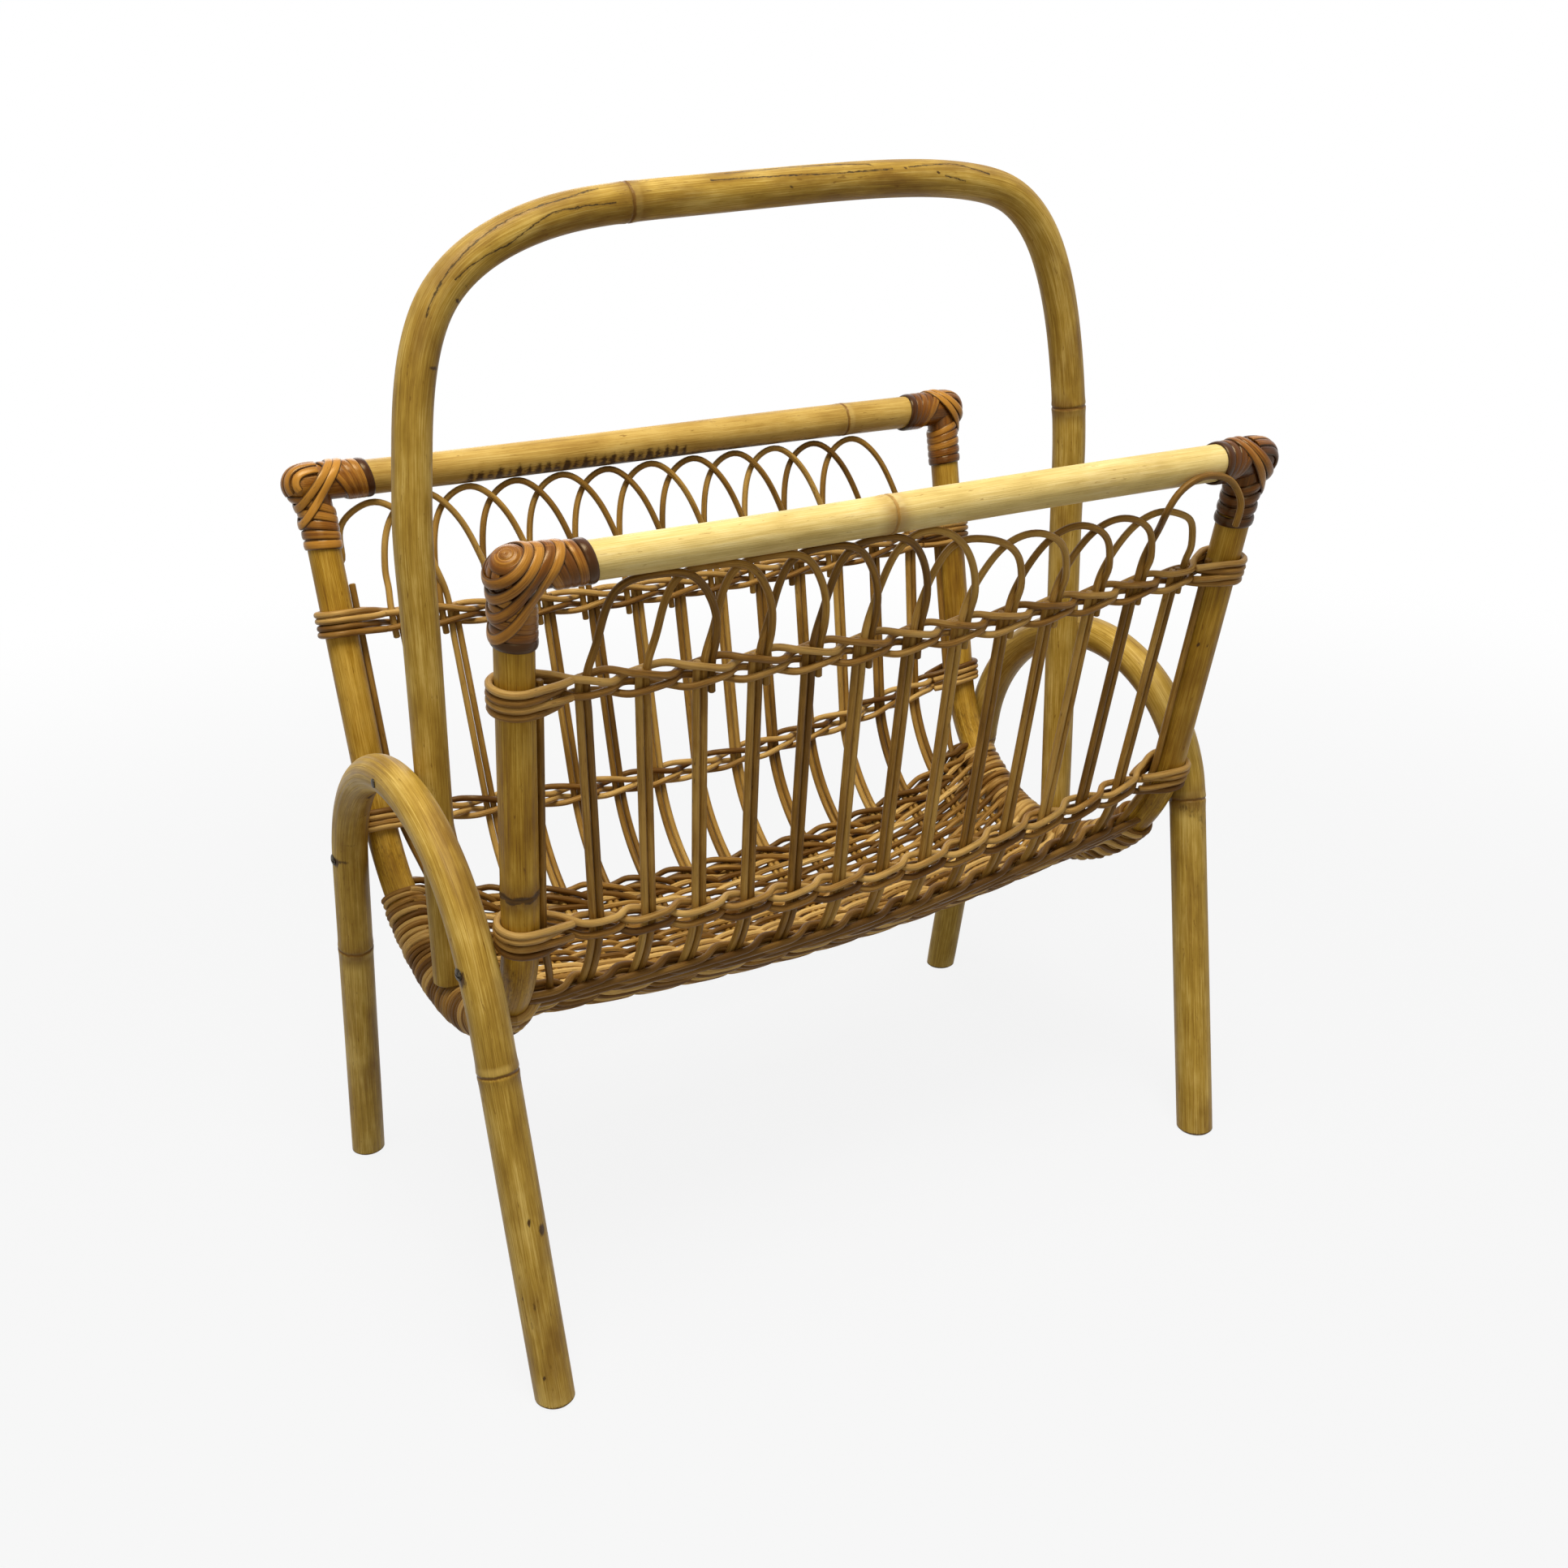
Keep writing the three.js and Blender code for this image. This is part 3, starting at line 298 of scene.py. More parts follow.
class Shape:
    def __init__(self):
        self.points, self.faces, self.count = [], [], 0
        self.fields = {key: [] for key in FIELD_KINDS}

    def keep(self, points, faces, grain, age, mark=None, stain_and_shade=0.0):
        size = len(points)
        self.points.append(points)
        self.faces.extend(face + self.count for face in faces)
        mark = np.ones((size, 3)) if mark is None else mark
        values = (grain, np.full(size, age), mark, np.broadcast_to(stain_and_shade, size))
        for kept, value in zip(self.fields.values(), values):
            kept.append(value)
        self.count += size

    def piece(self, node, slot, material):
        points = np.concatenate(self.points)
        mesh = bpy.data.meshes.new(f"{node}_look")
        mesh.vertices.add(len(points))
        mesh.vertices.foreach_set("co", points.ravel())
        sizes = np.array([len(face) for face in self.faces])
        mesh.loops.add(int(sizes.sum()))
        mesh.loops.foreach_set("vertex_index", np.concatenate(self.faces))
        mesh.polygons.add(len(sizes))
        mesh.polygons.foreach_set("loop_start", np.concatenate(([0], np.cumsum(sizes)[:-1])))
        mesh.polygons.foreach_set("use_smooth", np.ones(len(sizes), bool))
        mesh.update(calc_edges=True)
        mesh.set_sharp_from_angle(angle=SMOOTH_UNTIL)
        for key, kind in FIELD_KINDS.items():
            values = np.concatenate(self.fields[key]).ravel()
            field = "value" if kind == "FLOAT" else "vector"
            mesh.attributes.new(key, kind, "POINT").data.foreach_set(field, values)
        mesh.validate()
        mesh.materials.append(material)
        made = bpy.data.objects.new(f"{node}_look", mesh)
        bpy.context.scene.collection.objects.link(made)
        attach(made, "root")
        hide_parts(node)


def frames_along(points, closed, hint):
    if closed:
        along = np.roll(points, -1, axis=0) - np.roll(points, 1, axis=0)
    else:
        along = np.gradient(points, axis=0)
    along /= np.linalg.norm(along, axis=1)[:, None]
    if hint is not None:
        out = hint - along * np.sum(hint * along, axis=1)[:, None]
        out /= np.linalg.norm(out, axis=1)[:, None]
    else:
        out = np.zeros_like(points)
        start = np.cross(along[0], (0.0, 0.0, 1.0))
        if np.linalg.norm(start) < 0.1:
            start = np.cross(along[0], (1.0, 0.0, 0.0))
        last = unit(start)
        for i, t in enumerate(along):
            last = unit(last - t * (last @ t))
            out[i] = last
    return along, out, np.cross(along, out)


def circle(sides):
    turn = 2 * np.pi * np.arange(sides) / sides
    return np.stack((np.cos(turn), np.sin(turn)), axis=1)


CAP_INSET = 1e-5
GROUNDED_BELOW = 0.014
WOOD_SPREAD = 7  # how far apart in their wood the solids may start


# outline holds (out, across) shares of the radius, counter-clockwise seen from the end
def sweep(shape, points, radii, outline, hint=None, closed=False, bevel=0.3, age=0.5,
          marker=None, grounded=False):
    points = np.asarray(points, float)
    radii = np.broadcast_to(radii, len(points)).astype(float)
    along, out, across = frames_along(points, closed, hint)
    at = lengths(points)
    if not closed:
        small = radii[0] * bevel, radii[-1] * bevel
        points = np.concatenate((
            points[:1] + along[:1] * CAP_INSET, points[:1] + along[:1] * small[0], points[1:-1],
            points[-1:] - along[-1:] * small[1], points[-1:] - along[-1:] * CAP_INSET))
        radii = np.concatenate(((radii[0] * (1 - bevel),), radii, (radii[-1] * (1 - bevel),)))
        at = np.concatenate((at[:1], at, at[-1:]))
        along, out, across = (np.concatenate((v[:1], v, v[-1:])) for v in (along, out, across))
    count, sides = len(points), len(outline)
    turned = out[:, None] * outline[None, :, :1] + across[:, None] * outline[None, :, 1:]
    made = points[:, None] + turned * radii[:, None, None]
    if grounded:
        level = smoothstep(points[:, 2], 0.0, GROUNDED_BELOW)[:, None]
        made[..., 2] = points[:, None, 2] + (made[..., 2] - points[:, None, 2]) * level
    flat = made.reshape(-1, 3)
    grain = np.empty((count, sides, 3))
    grain[..., :2] = outline[None] * radii[:, None, None]
    grain[..., 2] = at[:, None]
    grain = grain.reshape(-1, 3)
    mark, stain_and_shade = None, 0.0
    if marker is not None:
        turn = np.broadcast_to(np.arctan2(outline[:, 1], outline[:, 0]), (count, sides))
        mark, stain_and_shade = marker(np.repeat(at, sides), turn.ravel(), np.repeat(radii, sides))
    rings = count if closed else count - 1
    i, k = np.meshgrid(np.arange(rings), np.arange(sides), indexing="ij")
    j, n = (i + 1) % count, (k + 1) % sides
    quads = np.stack((i * sides + k, i * sides + n, j * sides + n, j * sides + k), axis=-1)
    faces = list(quads.reshape(-1, 4))
    if not closed:
        faces.append(np.arange(sides)[::-1])
        faces.append(np.arange(sides) + (count - 1) * sides)
    shape.keep(flat, faces, grain + chance.random(3) * WOOD_SPREAD, age, mark, stain_and_shade)


DARK_END = 0.62
DARK_END_LENGTH = 0.0022


def turned_from(turn, degrees):
    return (turn - np.radians(degrees) + np.pi) % (2 * np.pi) - np.pi


# Marks of a pole by the distance along it and the turn round it: how far a point is from the
# nearest ring and from two families of cracks, where 1 is far, and how stained it is or how much
# painted shade it gets
def marker_of(rings, cracks, stains_and_shade, dark_ends):
    def marker(at, turn, radius):
        mark = np.ones((len(at), 3))
        for ring in rings:
            near = at - ring
            closer = np.abs(near) < np.abs(mark[:, 0])
            mark[closer, 0] = near[closer]
        for family, line in enumerate(cracks):
            places, angles = np.array(line).T
            apart = turned_from(turn, np.interp(at, places, angles))
            inside = (at > places[0]) & (at < places[-1])
            column = mark[:, 1 + family % 2]
            beyond = np.where(column != 1.0, column, np.sign(apart))
            column[:] = np.where(inside, apart * radius, beyond)
        stain_and_shade = np.zeros(len(at))
        for place, angle, half_length, half_width, strength in stains_and_shade:
            across = turned_from(turn, angle) * radius / half_width
            away = ((at - place) / half_length) ** 2 + across**2
            stain_and_shade = np.maximum(stain_and_shade, strength * np.exp(-away))
        for end in dark_ends:
            stain_and_shade = np.maximum(stain_and_shade, DARK_END * np.exp(-(((at - end) / DARK_END_LENGTH) ** 2)))
        return mark, stain_and_shade
    return marker


POLE_STEP = 0.002
POLE_SIDES = 44
POLE_WAVES = 0.003
RING_STATIONS = np.array([0, 0.4, 0.8, 1.2, 1.7, 2.3, 3, 4, 5.2]) / 1000
RING_CLEAR = 0.006
RING_RISE, RING_SPREAD = 0.00035, 0.0035
GROOVE_DEPTH, GROOVE_WIDTH, GROOVE_AT = 0.00045, 0.0007, -0.0004


# A bamboo pole along a dense path, with its rings raised and grooved
def pole(node, slot, material, path, radius_at, hint, rings=(), cracks=(), stains_and_shade=(),
         dark_ends=False, grounded=False):
    total = lengths(path)[-1]
    near = [ring + sign * gap for ring in rings for gap in RING_STATIONS for sign in (-1, 1)]
    even = np.linspace(0, total, int(total / POLE_STEP))
    even = [place for place in even if all(abs(place - ring) > RING_CLEAR for ring in rings)]
    stations = np.unique(np.clip(np.array(even + near), 0, total))
    stations = stations[np.concatenate(([True], np.diff(stations) > 1e-4))]
    phase = len(f"{node}_look")
    waves = np.sin(stations * 23 + phase) + 0.6 * np.sin(stations * 61 + 2)
    radii = radius_at(stations / total) * (1 + POLE_WAVES * waves)
    for ring in rings:
        away = stations - ring
        radii = radii + RING_RISE * np.exp(-((away / RING_SPREAD) ** 2))
        radii = radii - GROOVE_DEPTH * np.exp(-(((away - GROOVE_AT) / GROOVE_WIDTH) ** 2))
    shape = Shape()
    hints = np.tile(np.array(hint, float), (len(stations), 1))
    ends = (0, total) if dark_ends else ()
    sweep(shape, resample(path, stations), radii, circle(POLE_SIDES), hints, bevel=0.12,
          marker=marker_of(rings, cracks, stains_and_shade, ends), grounded=grounded)
    shape.piece(node, slot, material)


# Shader trees
class Tree:
    def __init__(self, owner, output="ShaderNodeOutputMaterial"):
        owner.use_nodes = True
        self.owner, self.tree = owner, owner.node_tree
        self.tree.nodes.clear()
        self.output = self.node(output)

    def node(self, kind, **settings):
        made = self.tree.nodes.new(kind)
        for key, value in settings.items():
            setattr(made, key, value)
        return made

    def put(self, socket, value):
        if isinstance(value, bpy.types.NodeSocket):
            self.tree.links.new(value, socket)
        elif value is not None:
            socket.default_value = value

    def set(self, node, **values):
        for key, value in values.items():
            self.put(node.inputs[key.replace("_", " ")], value)

    def math(self, operation, a, b=None, c=None):
        made = self.node("ShaderNodeMath", operation=operation)
        for socket, value in zip(made.inputs, (a, b, c)):
            self.put(socket, value)
        return made.outputs[0]

    def attribute(self, name, output="Vector"):
        return self.node("ShaderNodeAttribute", attribute_name=name).outputs[output]

    def noise(self, vector, scale, detail, roughness):
        stretched = self.node("ShaderNodeVectorMath", operation="MULTIPLY")
        self.put(stretched.inputs[0], vector)
        self.put(stretched.inputs[1], scale)
        made = self.node("ShaderNodeTexNoise")
        self.set(made, Vector=stretched.outputs[0], Scale=1.0, Detail=detail, Roughness=roughness)
        return made.outputs["Fac"]

    def range(self, value, low, high, to_low=0.0, to_high=1.0):
        made = self.node("ShaderNodeMapRange", interpolation_type="SMOOTHSTEP")
        self.set(made, Value=value, From_Min=low, From_Max=high, To_Min=to_low, To_Max=to_high)
        return made.outputs["Result"]

    def mix(self, share, a, b):
        made = self.node("ShaderNodeMix", data_type="RGBA")
        self.put(made.inputs["Factor"], share)
        colours = [s for s in made.inputs if s.type == "RGBA"]
        self.put(colours[0], a)
        self.put(colours[1], b)
        return [s for s in made.outputs if s.type == "RGBA"][0]

    def ramp(self, value, stops):
        made = self.node("ShaderNodeValToRGB")
        ramp = made.color_ramp
        while len(ramp.elements) < len(stops):
            ramp.elements.new(1.0)
        for element, (place, colour) in zip(ramp.elements, stops):
            element.position = place
            element.color = colour
        self.put(made.inputs["Fac"], value)
        return made.outputs["Color"]

    # One for the rays that meet the background: from the camera, off gloss and through glass
    def background_rays(self):
        rays = self.node("ShaderNodeLightPath").outputs
        seen = self.math("MAXIMUM", rays["Is Camera Ray"], rays["Is Glossy Ray"])
        return self.math("MAXIMUM", seen, rays["Is Transmission Ray"])

    def finish(self, shader, height, strength, distance):
        raised = self.node("ShaderNodeBump")
        self.set(raised, Strength=strength, Distance=distance, Height=height)
        self.set(shader, Normal=raised.outputs[0])
        self.set(self.output, Surface=shader.outputs[0])
        return self.owner


def rgb(red, green, blue):
    linear = [c / 12.92 if c <= 0.04045 else ((c + 0.055) / 1.055) ** 2.4
              for c in (red / 255, green / 255, blue / 255)]
    return (*linear, 1.0)


FINE_SHARE, BROAD_SHARE, PATCH_SHARE = 0.52, 0.24, 0.5
BLACK = (0.012, 0.006, 0.003, 1.0)
# Brown of the stains, and of the painted shade at the bends of the frames
STAIN_AND_SHADE_BROWN = (0.05, 0.021, 0.005, 1.0)
WARM_GLOSS = (1.0, 0.76, 0.38, 1.0)


# The colour and height of the rings, cracks and stains that are kept on a pole, and of its patches
# of painted shade
def marks(t, fibres, patch, light, stain_and_shade, colour, height):
    parts = t.node("ShaderNodeSeparateXYZ")
    t.put(parts.inputs[0], t.attribute("mark"))
    wobble = t.math("SUBTRACT", fibres(230, 60, 3.0, 0.6), 0.5)
    shifted = t.math("MULTIPLY_ADD", wobble, 0.0022, parts.outputs[0])
    off = t.math("ABSOLUTE", shifted)
    line = t.range(off, 0.0003, 0.0011, 0.85, 0.0)
    above = t.math("ABSOLUTE", t.math("SUBTRACT", shifted, 0.0026))
    above = t.range(above, 0.0005, 0.003, 0.4, 0.0)
    cloud = t.range(off, 0.001, 0.012, 0.75, 0.0)
    cloud = t.math("MULTIPLY", cloud, t.range(patch, 0.35, 0.6))
    colour = t.mix(above, colour, light)
    colour = t.mix(cloud, colour, stain_and_shade)
    colour = t.mix(line, colour, stain_and_shade)
    height = t.math("MULTIPLY_ADD", line, -2.0, height)
    jagged = t.math("MULTIPLY_ADD", fibres(900, 260, 4.0, 0.7), 0.0026, -0.0013)
    for family in (1, 2):
        off = t.math("ABSOLUTE", t.math("ADD", parts.outputs[family], jagged))
        opened = t.range(off, 0.00012, 0.00042, 0.9, 0.0)
        colour = t.mix(t.range(off, 0.0002, 0.0016, 0.35, 0.0), colour, stain_and_shade)
        colour = t.mix(opened, colour, BLACK)
        height = t.math("MULTIPLY_ADD", opened, -4.0, height)
    amount = t.attribute("stain_and_shade", "Fac")
    frayed = t.math("MULTIPLY_ADD", fibres(900, 330, 4.0, 0.65), 0.8, -0.4)
    spot = t.range(t.math("ADD", amount, frayed), 0.22, 0.62)
    spot = t.math("MULTIPLY", spot, t.range(amount, 0.02, 0.2))
    return t.mix(spot, colour, STAIN_AND_SHADE_BROWN), height


# Bamboo or cane: fibres and blotches that follow the pole, and the marks that are kept on it
def wood(name, colours, fibre=1.0, streak=0.5, tones=0.3, roughness=(0.36, 0.58), coat=0.0,
         bump=0.25, spread=0.27, dirt=0.3, marked=False, shaded_edges=False):
    t = Tree(bpy.data.materials.new(name))
    dark, middle, light, stain_and_shade = (rgb(*colour) for colour in colours)
    grain = t.attribute("grain")

    def fibres(across, along, detail, rough):
        return t.noise(grain, (across, across, along), detail, rough)

    fine = fibres(2300 * fibre, 40 * fibre, 4.0, 0.6)
    broad = fibres(420 * fibre, 13 * fibre, 3.0, 0.5)
    patch = fibres(60, 24, 4.0, 0.6)
    value = t.math("MULTIPLY", fine, FINE_SHARE)
    value = t.math("MULTIPLY_ADD", broad, BROAD_SHARE, value)
    value = t.math("MULTIPLY_ADD", patch, PATCH_SHARE, value)
    age = t.math("SUBTRACT", t.attribute("age", "Fac"), 0.5)
    value = t.math("MULTIPLY_ADD", age, tones, value)
    centre = (FINE_SHARE + BROAD_SHARE + PATCH_SHARE) / 2
    value = t.range(value, centre - spread, centre + spread)
    colour = t.ramp(value, [(0.0, dark), (0.5, middle), (1.0, light)])
    worn = t.range(fibres(34, 11, 5.0, 0.6), 0.5, 0.72, 0.0, dirt)
    run = t.range(fibres(620 * fibre, 11 * fibre, 5.0, 0.62), 0.58, 0.74, 0.0, streak)
    speck = t.range(fibres(760, 150, 3.0, 0.55), 0.64, 0.74, 0.0, 0.62)
    for share in (worn, run, speck):
        colour = t.mix(share, colour, stain_and_shade)
    # On the lashing the side edges of each strip darken towards the stain colour: painted shade in
    # the gaps between strips
    if shaded_edges:
        colour = t.mix(t.range(t.attribute("stain_and_shade", "Fac"), 0.05, 0.9, 0.0, 0.85), colour, stain_and_shade)
    height = t.math("MULTIPLY_ADD", broad, 0.5, fine)
    height = t.math("MULTIPLY_ADD", run, -0.5, height)
    if marked:
        colour, height = marks(t, fibres, patch, light, stain_and_shade, colour, height)
    shader = t.node("ShaderNodeBsdfPrincipled")
    t.set(shader, Base_Color=colour, Roughness=t.range(broad, 0.3, 0.7, *roughness),
          Specular_IOR_Level=0.32, Specular_Tint=WARM_GLOSS, Coat_Weight=coat, Coat_Roughness=0.25)
    return t.finish(shader, height, bump, 0.0005)


# Each wood's dark, middle, light and stain colour, and its settings; on the lashing the stain
# colour also paints shade at the edges of the strips
WOODS = {
    "bamboo": (((122, 88, 24), (166, 131, 50), (206, 174, 94), (96, 60, 16)),
               dict(streak=0.3, dirt=0.65, spread=0.23, marked=True)),
    "stile_bamboo": (((112, 72, 12), (162, 120, 32), (202, 162, 70), (84, 44, 6)),
                     dict(streak=0.35, dirt=0.5, spread=0.23, marked=True)),
    "pale_bamboo": (((178, 148, 78), (211, 183, 110), (230, 208, 146), (146, 106, 46)),
                    dict(streak=0.2, marked=True)),
    "back_bamboo": (((142, 104, 38), (182, 146, 70), (206, 174, 100), (104, 64, 14)),
                    dict(streak=0.3, marked=True)),
    "reed": (((88, 56, 14), (140, 100, 38), (182, 142, 70), (56, 30, 6)), dict(fibre=1.4)),
    "cane": (((84, 50, 12), (140, 98, 40), (190, 150, 82), (52, 26, 5)),
             dict(fibre=1.3, tones=0.5)),
    "floor_cane": (((92, 58, 16), (150, 108, 46), (202, 162, 92), (60, 32, 6)),
                   dict(fibre=1.3, tones=0.75)),
    "lashing_cane": (((58, 24, 3), (116, 65, 13), (176, 120, 42), (42, 17, 3)),
                     dict(tones=0.8, streak=0.4, roughness=(0.22, 0.38), coat=0.04, bump=0.2,
                          spread=0.3, shaded_edges=True)),
}
woods = {name: wood(name, colours, **settings) for name, (colours, settings) in WOODS.items()}


def steel_material():
    t = Tree(bpy.data.materials.new("steel"))
    place = t.node("ShaderNodeTexCoord").outputs["Object"]
    wear = t.noise(place, (900, 900, 900), 4.0, 0.6)
    scratch = t.noise(place, (5000, 700, 5000), 2.0, 0.5)
    shader = t.node("ShaderNodeBsdfPrincipled")
    colours = (0.3, rgb(22, 17, 12)), (0.5, rgb(58, 50, 38)), (0.75, rgb(108, 100, 84))
    t.set(shader, Base_Color=t.ramp(wear, colours), Metallic=0.85,
          Roughness=t.range(wear, 0.3, 0.7, 0.28, 0.55))
    return t.finish(shader, scratch, 0.2, 0.0001)


steel = steel_material()

# Handle
HANDLE_FOOT_HEIGHT = FLOOR_BAR_HEIGHT + WINDING_OUTER + 0.0004


def handle_path():
    bend = [(along * FRAME_HALF_LENGTH, 0.0, lerp(HANDLE_BEND_HEIGHT, HANDLE_TOP_HEIGHT, rise))
            for along, rise in HANDLE_OUTLINE_SHARES]
    legs = []
    for side in (-1, 1):
        foot = np.array((side * HANDLE_FOOT_REACH, 0.0, HANDLE_FOOT_HEIGHT))
        top = np.array((side * FRAME_HALF_LENGTH, 0.0, HANDLE_BEND_HEIGHT))
        legs.append([lerp(foot, top, share) for share in (0.0, 0.3, 0.6, 0.85, 1.0)])
    return smoothed(spline(legs[0] + bend + legs[1][::-1], 2400), 40)


def handle_radius(share):
    up = (HANDLE_BEND_HEIGHT - HANDLE_FOOT_HEIGHT) / lengths(HANDLE_PATH)[-1]
    left = np.clip(1 - share / up, 0, 1)
    right = np.clip(1 - (1 - share) / up, 0, 1)
    radii = lerp(HANDLE_RADIUS, HANDLE_FOOT_DIAMETER[-1] / 2, left)
    return lerp(radii, HANDLE_FOOT_DIAMETER[1] / 2, right)


HANDLE_PATH = handle_path()


# Leg arches: for each half its radius, its centre, where its bend starts and the top of its leg
def arch_side(side, face):
    radius = ARCH_RADIUS[side, face]
    centre = (face * ARCH_SET_BACK[side], ARCH_HEIGHT[side] - radius)
    apart = FOOT_HALF_DEPTH - centre[0]
    angle = math.acos(radius / math.hypot(apart, centre[1])) - math.atan2(centre[1], apart)
    leg_top = (centre[0] + radius * math.cos(angle), centre[1] + radius * math.sin(angle))
    return radius, centre, angle, *leg_top


def arch_out(side, face, height):
    radius, centre, _, leg_out, leg_top = arch_side(side, face)
    if height < leg_top:
        return lerp(FOOT_HALF_DEPTH, leg_out, height / leg_top)
    return centre[0] + math.sqrt(max(radius**2 - (height - centre[1]) ** 2, 0))


def crossing_height(side, face):
    low, high = FLOOR_BAR_HEIGHT, min(BEND_CENTRE, ARCH_HEIGHT[side])
    for _ in range(40):
        middle = (low + high) / 2
        if section(girth_at(middle))[0] < arch_out(side, face, middle):
            low = middle
        else:
            high = middle
    return low


def handle_outside(side, height):
    down = (HANDLE_BEND_HEIGHT - height) / (HANDLE_BEND_HEIGHT - HANDLE_FOOT_HEIGHT)
    axis = lerp(FRAME_HALF_LENGTH, HANDLE_FOOT_REACH, down)
    return axis + lerp(HANDLE_RADIUS, HANDLE_FOOT_DIAMETER[side] / 2, down)


STILE_BEARING = 0.0021  # of a leg past the bare stile, over the wraps of the lower row
SCREW_SINK = 0.0004


def arch_x(side, face, height):
    crossing = crossing_height(side, face)
    leg = LEG_DIAMETER[side, face] / 2
    bearing = frame_at(crossing) + FRAME_RADIUS + TOUCH + leg + STILE_BEARING * (side < 0)
    if height < crossing:
        return lerp(FOOT_REACH[side, face], bearing, height / crossing)
    thick = max(LEG_DIAMETER[side, -1], LEG_DIAMETER[side, 1]) / 2
    top = handle_outside(side, ARCH_HEIGHT[side]) + TOUCH + thick
    return lerp(bearing, top, (height - crossing) / (ARCH_HEIGHT[side] - crossing))


def arch_path(side):
    points = []
    for face in (-1, 1):
        radius, centre, angle, leg_out, leg_top = arch_side(side, face)
        heights = np.linspace(0, leg_top, 60, endpoint=False)
        places = [(lerp(FOOT_HALF_DEPTH, leg_out, z / leg_top), z) for z in heights]
        places += [(centre[0] + radius * math.cos(turn), centre[1] + radius * math.sin(turn))
                   for turn in np.linspace(angle, math.pi / 2, 120)]
        half = [(side * arch_x(side, face, z), face * out, z) for out, z in places]
        points += half if face < 0 else half[::-1][1:]
    return evenly(smoothed(np.array(points), 30), 0.002)


def frame_path(side):
    return np.array([frame_point(side, girth)
                     for girth in np.linspace(-RAIL_GIRTH, RAIL_GIRTH, 500)])


def rail_path(face):
    ends = [np.array((side * (frame_at(RAIL_HEIGHT) + RAIL_SHOWN_OVERHANG), face * RAIL_Y,
                      RAIL_HEIGHT)) for side in (-1, 1)]
    share = np.linspace(0, 1, 300)[:, None]
    path = lerp(ends[0], ends[1], share)
    path[:, 2] -= 0.0004 * np.sin(np.pi * share[:, 0] * 2)
    return path


def tapered(first, last):
    return lambda share: lerp(first, last, share) / 2


HANDLE_RINGS = (0.4427, 0.8073)
HANDLE_CRACKS = (
    [(0.324, 152), (0.36, 140), (0.384, 132), (0.41, 134), (0.428, 122)],
    [(0.345, 172), (0.376, 195), (0.401, 164), (0.434, 176)],
    [(0.484, 138), (0.522, 144), (0.557, 152), (0.592, 150)],
    [(0.494, 112), (0.537, 106), (0.563, 117), (0.58, 128)],
    [(0.6, 146), (0.631, 128), (0.655, 154)],
    [(0.623, 172), (0.638, 186)],
)
HANDLE_STAINS = [(0.288 + 0.0085 * step, -142 + 5 * math.sin(step * 2.3), 0.0005, 0.0035, 0.8)
                 for step in range(10)]
HANDLE_STAINS += [(0.53 + 0.09 * k % 0.11, 180 - 17 * k, 0.0009, 0.0005, 0.9) for k in range(6)]
LEFT_ARCH_STAINS = [
    (0.4455, -20, 0.003, 0.002, 1.0), (0.444, -45, 0.0006, 0.005, 0.8),
    (0.38, -100, 0.0045, 0.0022, 1.0), (0.0945, 84, 0.0024, 0.0008, 1.0),
    (0.088, 119, 0.0028, 0.0022, 1.0), (0.0615, 150, 0.001, 0.0012, 0.9),
    (0.016, 51, 0.0012, 0.0009, 0.9), (0.211, 10, 0.0042, 0.0042, 0.8),
    (0.33, 110, 0.006, 0.0006, 0.6), (0.3, 130, 0.004, 0.0005, 0.6),
]
LEFT_ARCH_STAINS += [(0.03 + 0.0045 * k, 60 + 37 * math.sin(k * 1.9), 0.0035, 0.0006, 0.6)
                     for k in range(9)]
LEFT_ARCH_STAINS += [(0.398 + 0.0048 * k, -88 + 22 * math.sin(k * 2.1), 0.0004, 0.005, 0.42)
                     for k in range(12)]
FRAME_NOTCH = [(0.1522 + 0.0012 * math.sin(angle * 0.11), angle, 0.0013, 0.0028, 1.0)
               for angle in range(-180, 180, 14)]
# Broad dark patches round both bends of each frame, outside and inside: painted shade
LOWER_PAINTED_SHADE = [(place, angle, 0.03, 0.03, 0.33) for place in (0.2, 0.408) for angle in (0, 180)]
NAIL_HOLES = [(0.1026, 146, 0.0013, 0.0009, 1.0), (0.1016, 112, 0.0013, 0.0009, 1.0)]
TOOTH_MARKS_AND_UNDERSIDE_BAND = [(0.088 + 0.0058 * k, 224 - 0.3 * k, 0.0023, 0.0062,
                 0.76 + 0.16 * math.sin(k * 2.7)) for k in range(24)]
# The last entry darkens a long band along the underside of the back rail
TOOTH_MARKS_AND_UNDERSIDE_BAND += [(0.2, 254, 0.19, 0.0062, 0.66)]
RIGHT_ARCH_STAINS = [(0.195 - 0.0035 * k, -150 + 31 * k, 0.0045, 0.004, 0.42) for k in range(4)]
LEG_LOOKS = {-1: ((0.1655, 0.5045), LEFT_ARCH_STAINS), 1: ((0.199, 0.47), RIGHT_ARCH_STAINS)}
FRAME_LOOKS = {-1: ((0.1522,), FRAME_NOTCH + LOWER_PAINTED_SHADE), 1: ((0.47,), LOWER_PAINTED_SHADE + NAIL_HOLES)}
RAIL_LOOKS = {-1: ((0.1847,), (), "pale_bamboo"), 1: ((0.3374,), TOOTH_MARKS_AND_UNDERSIDE_BAND, "back_bamboo")}

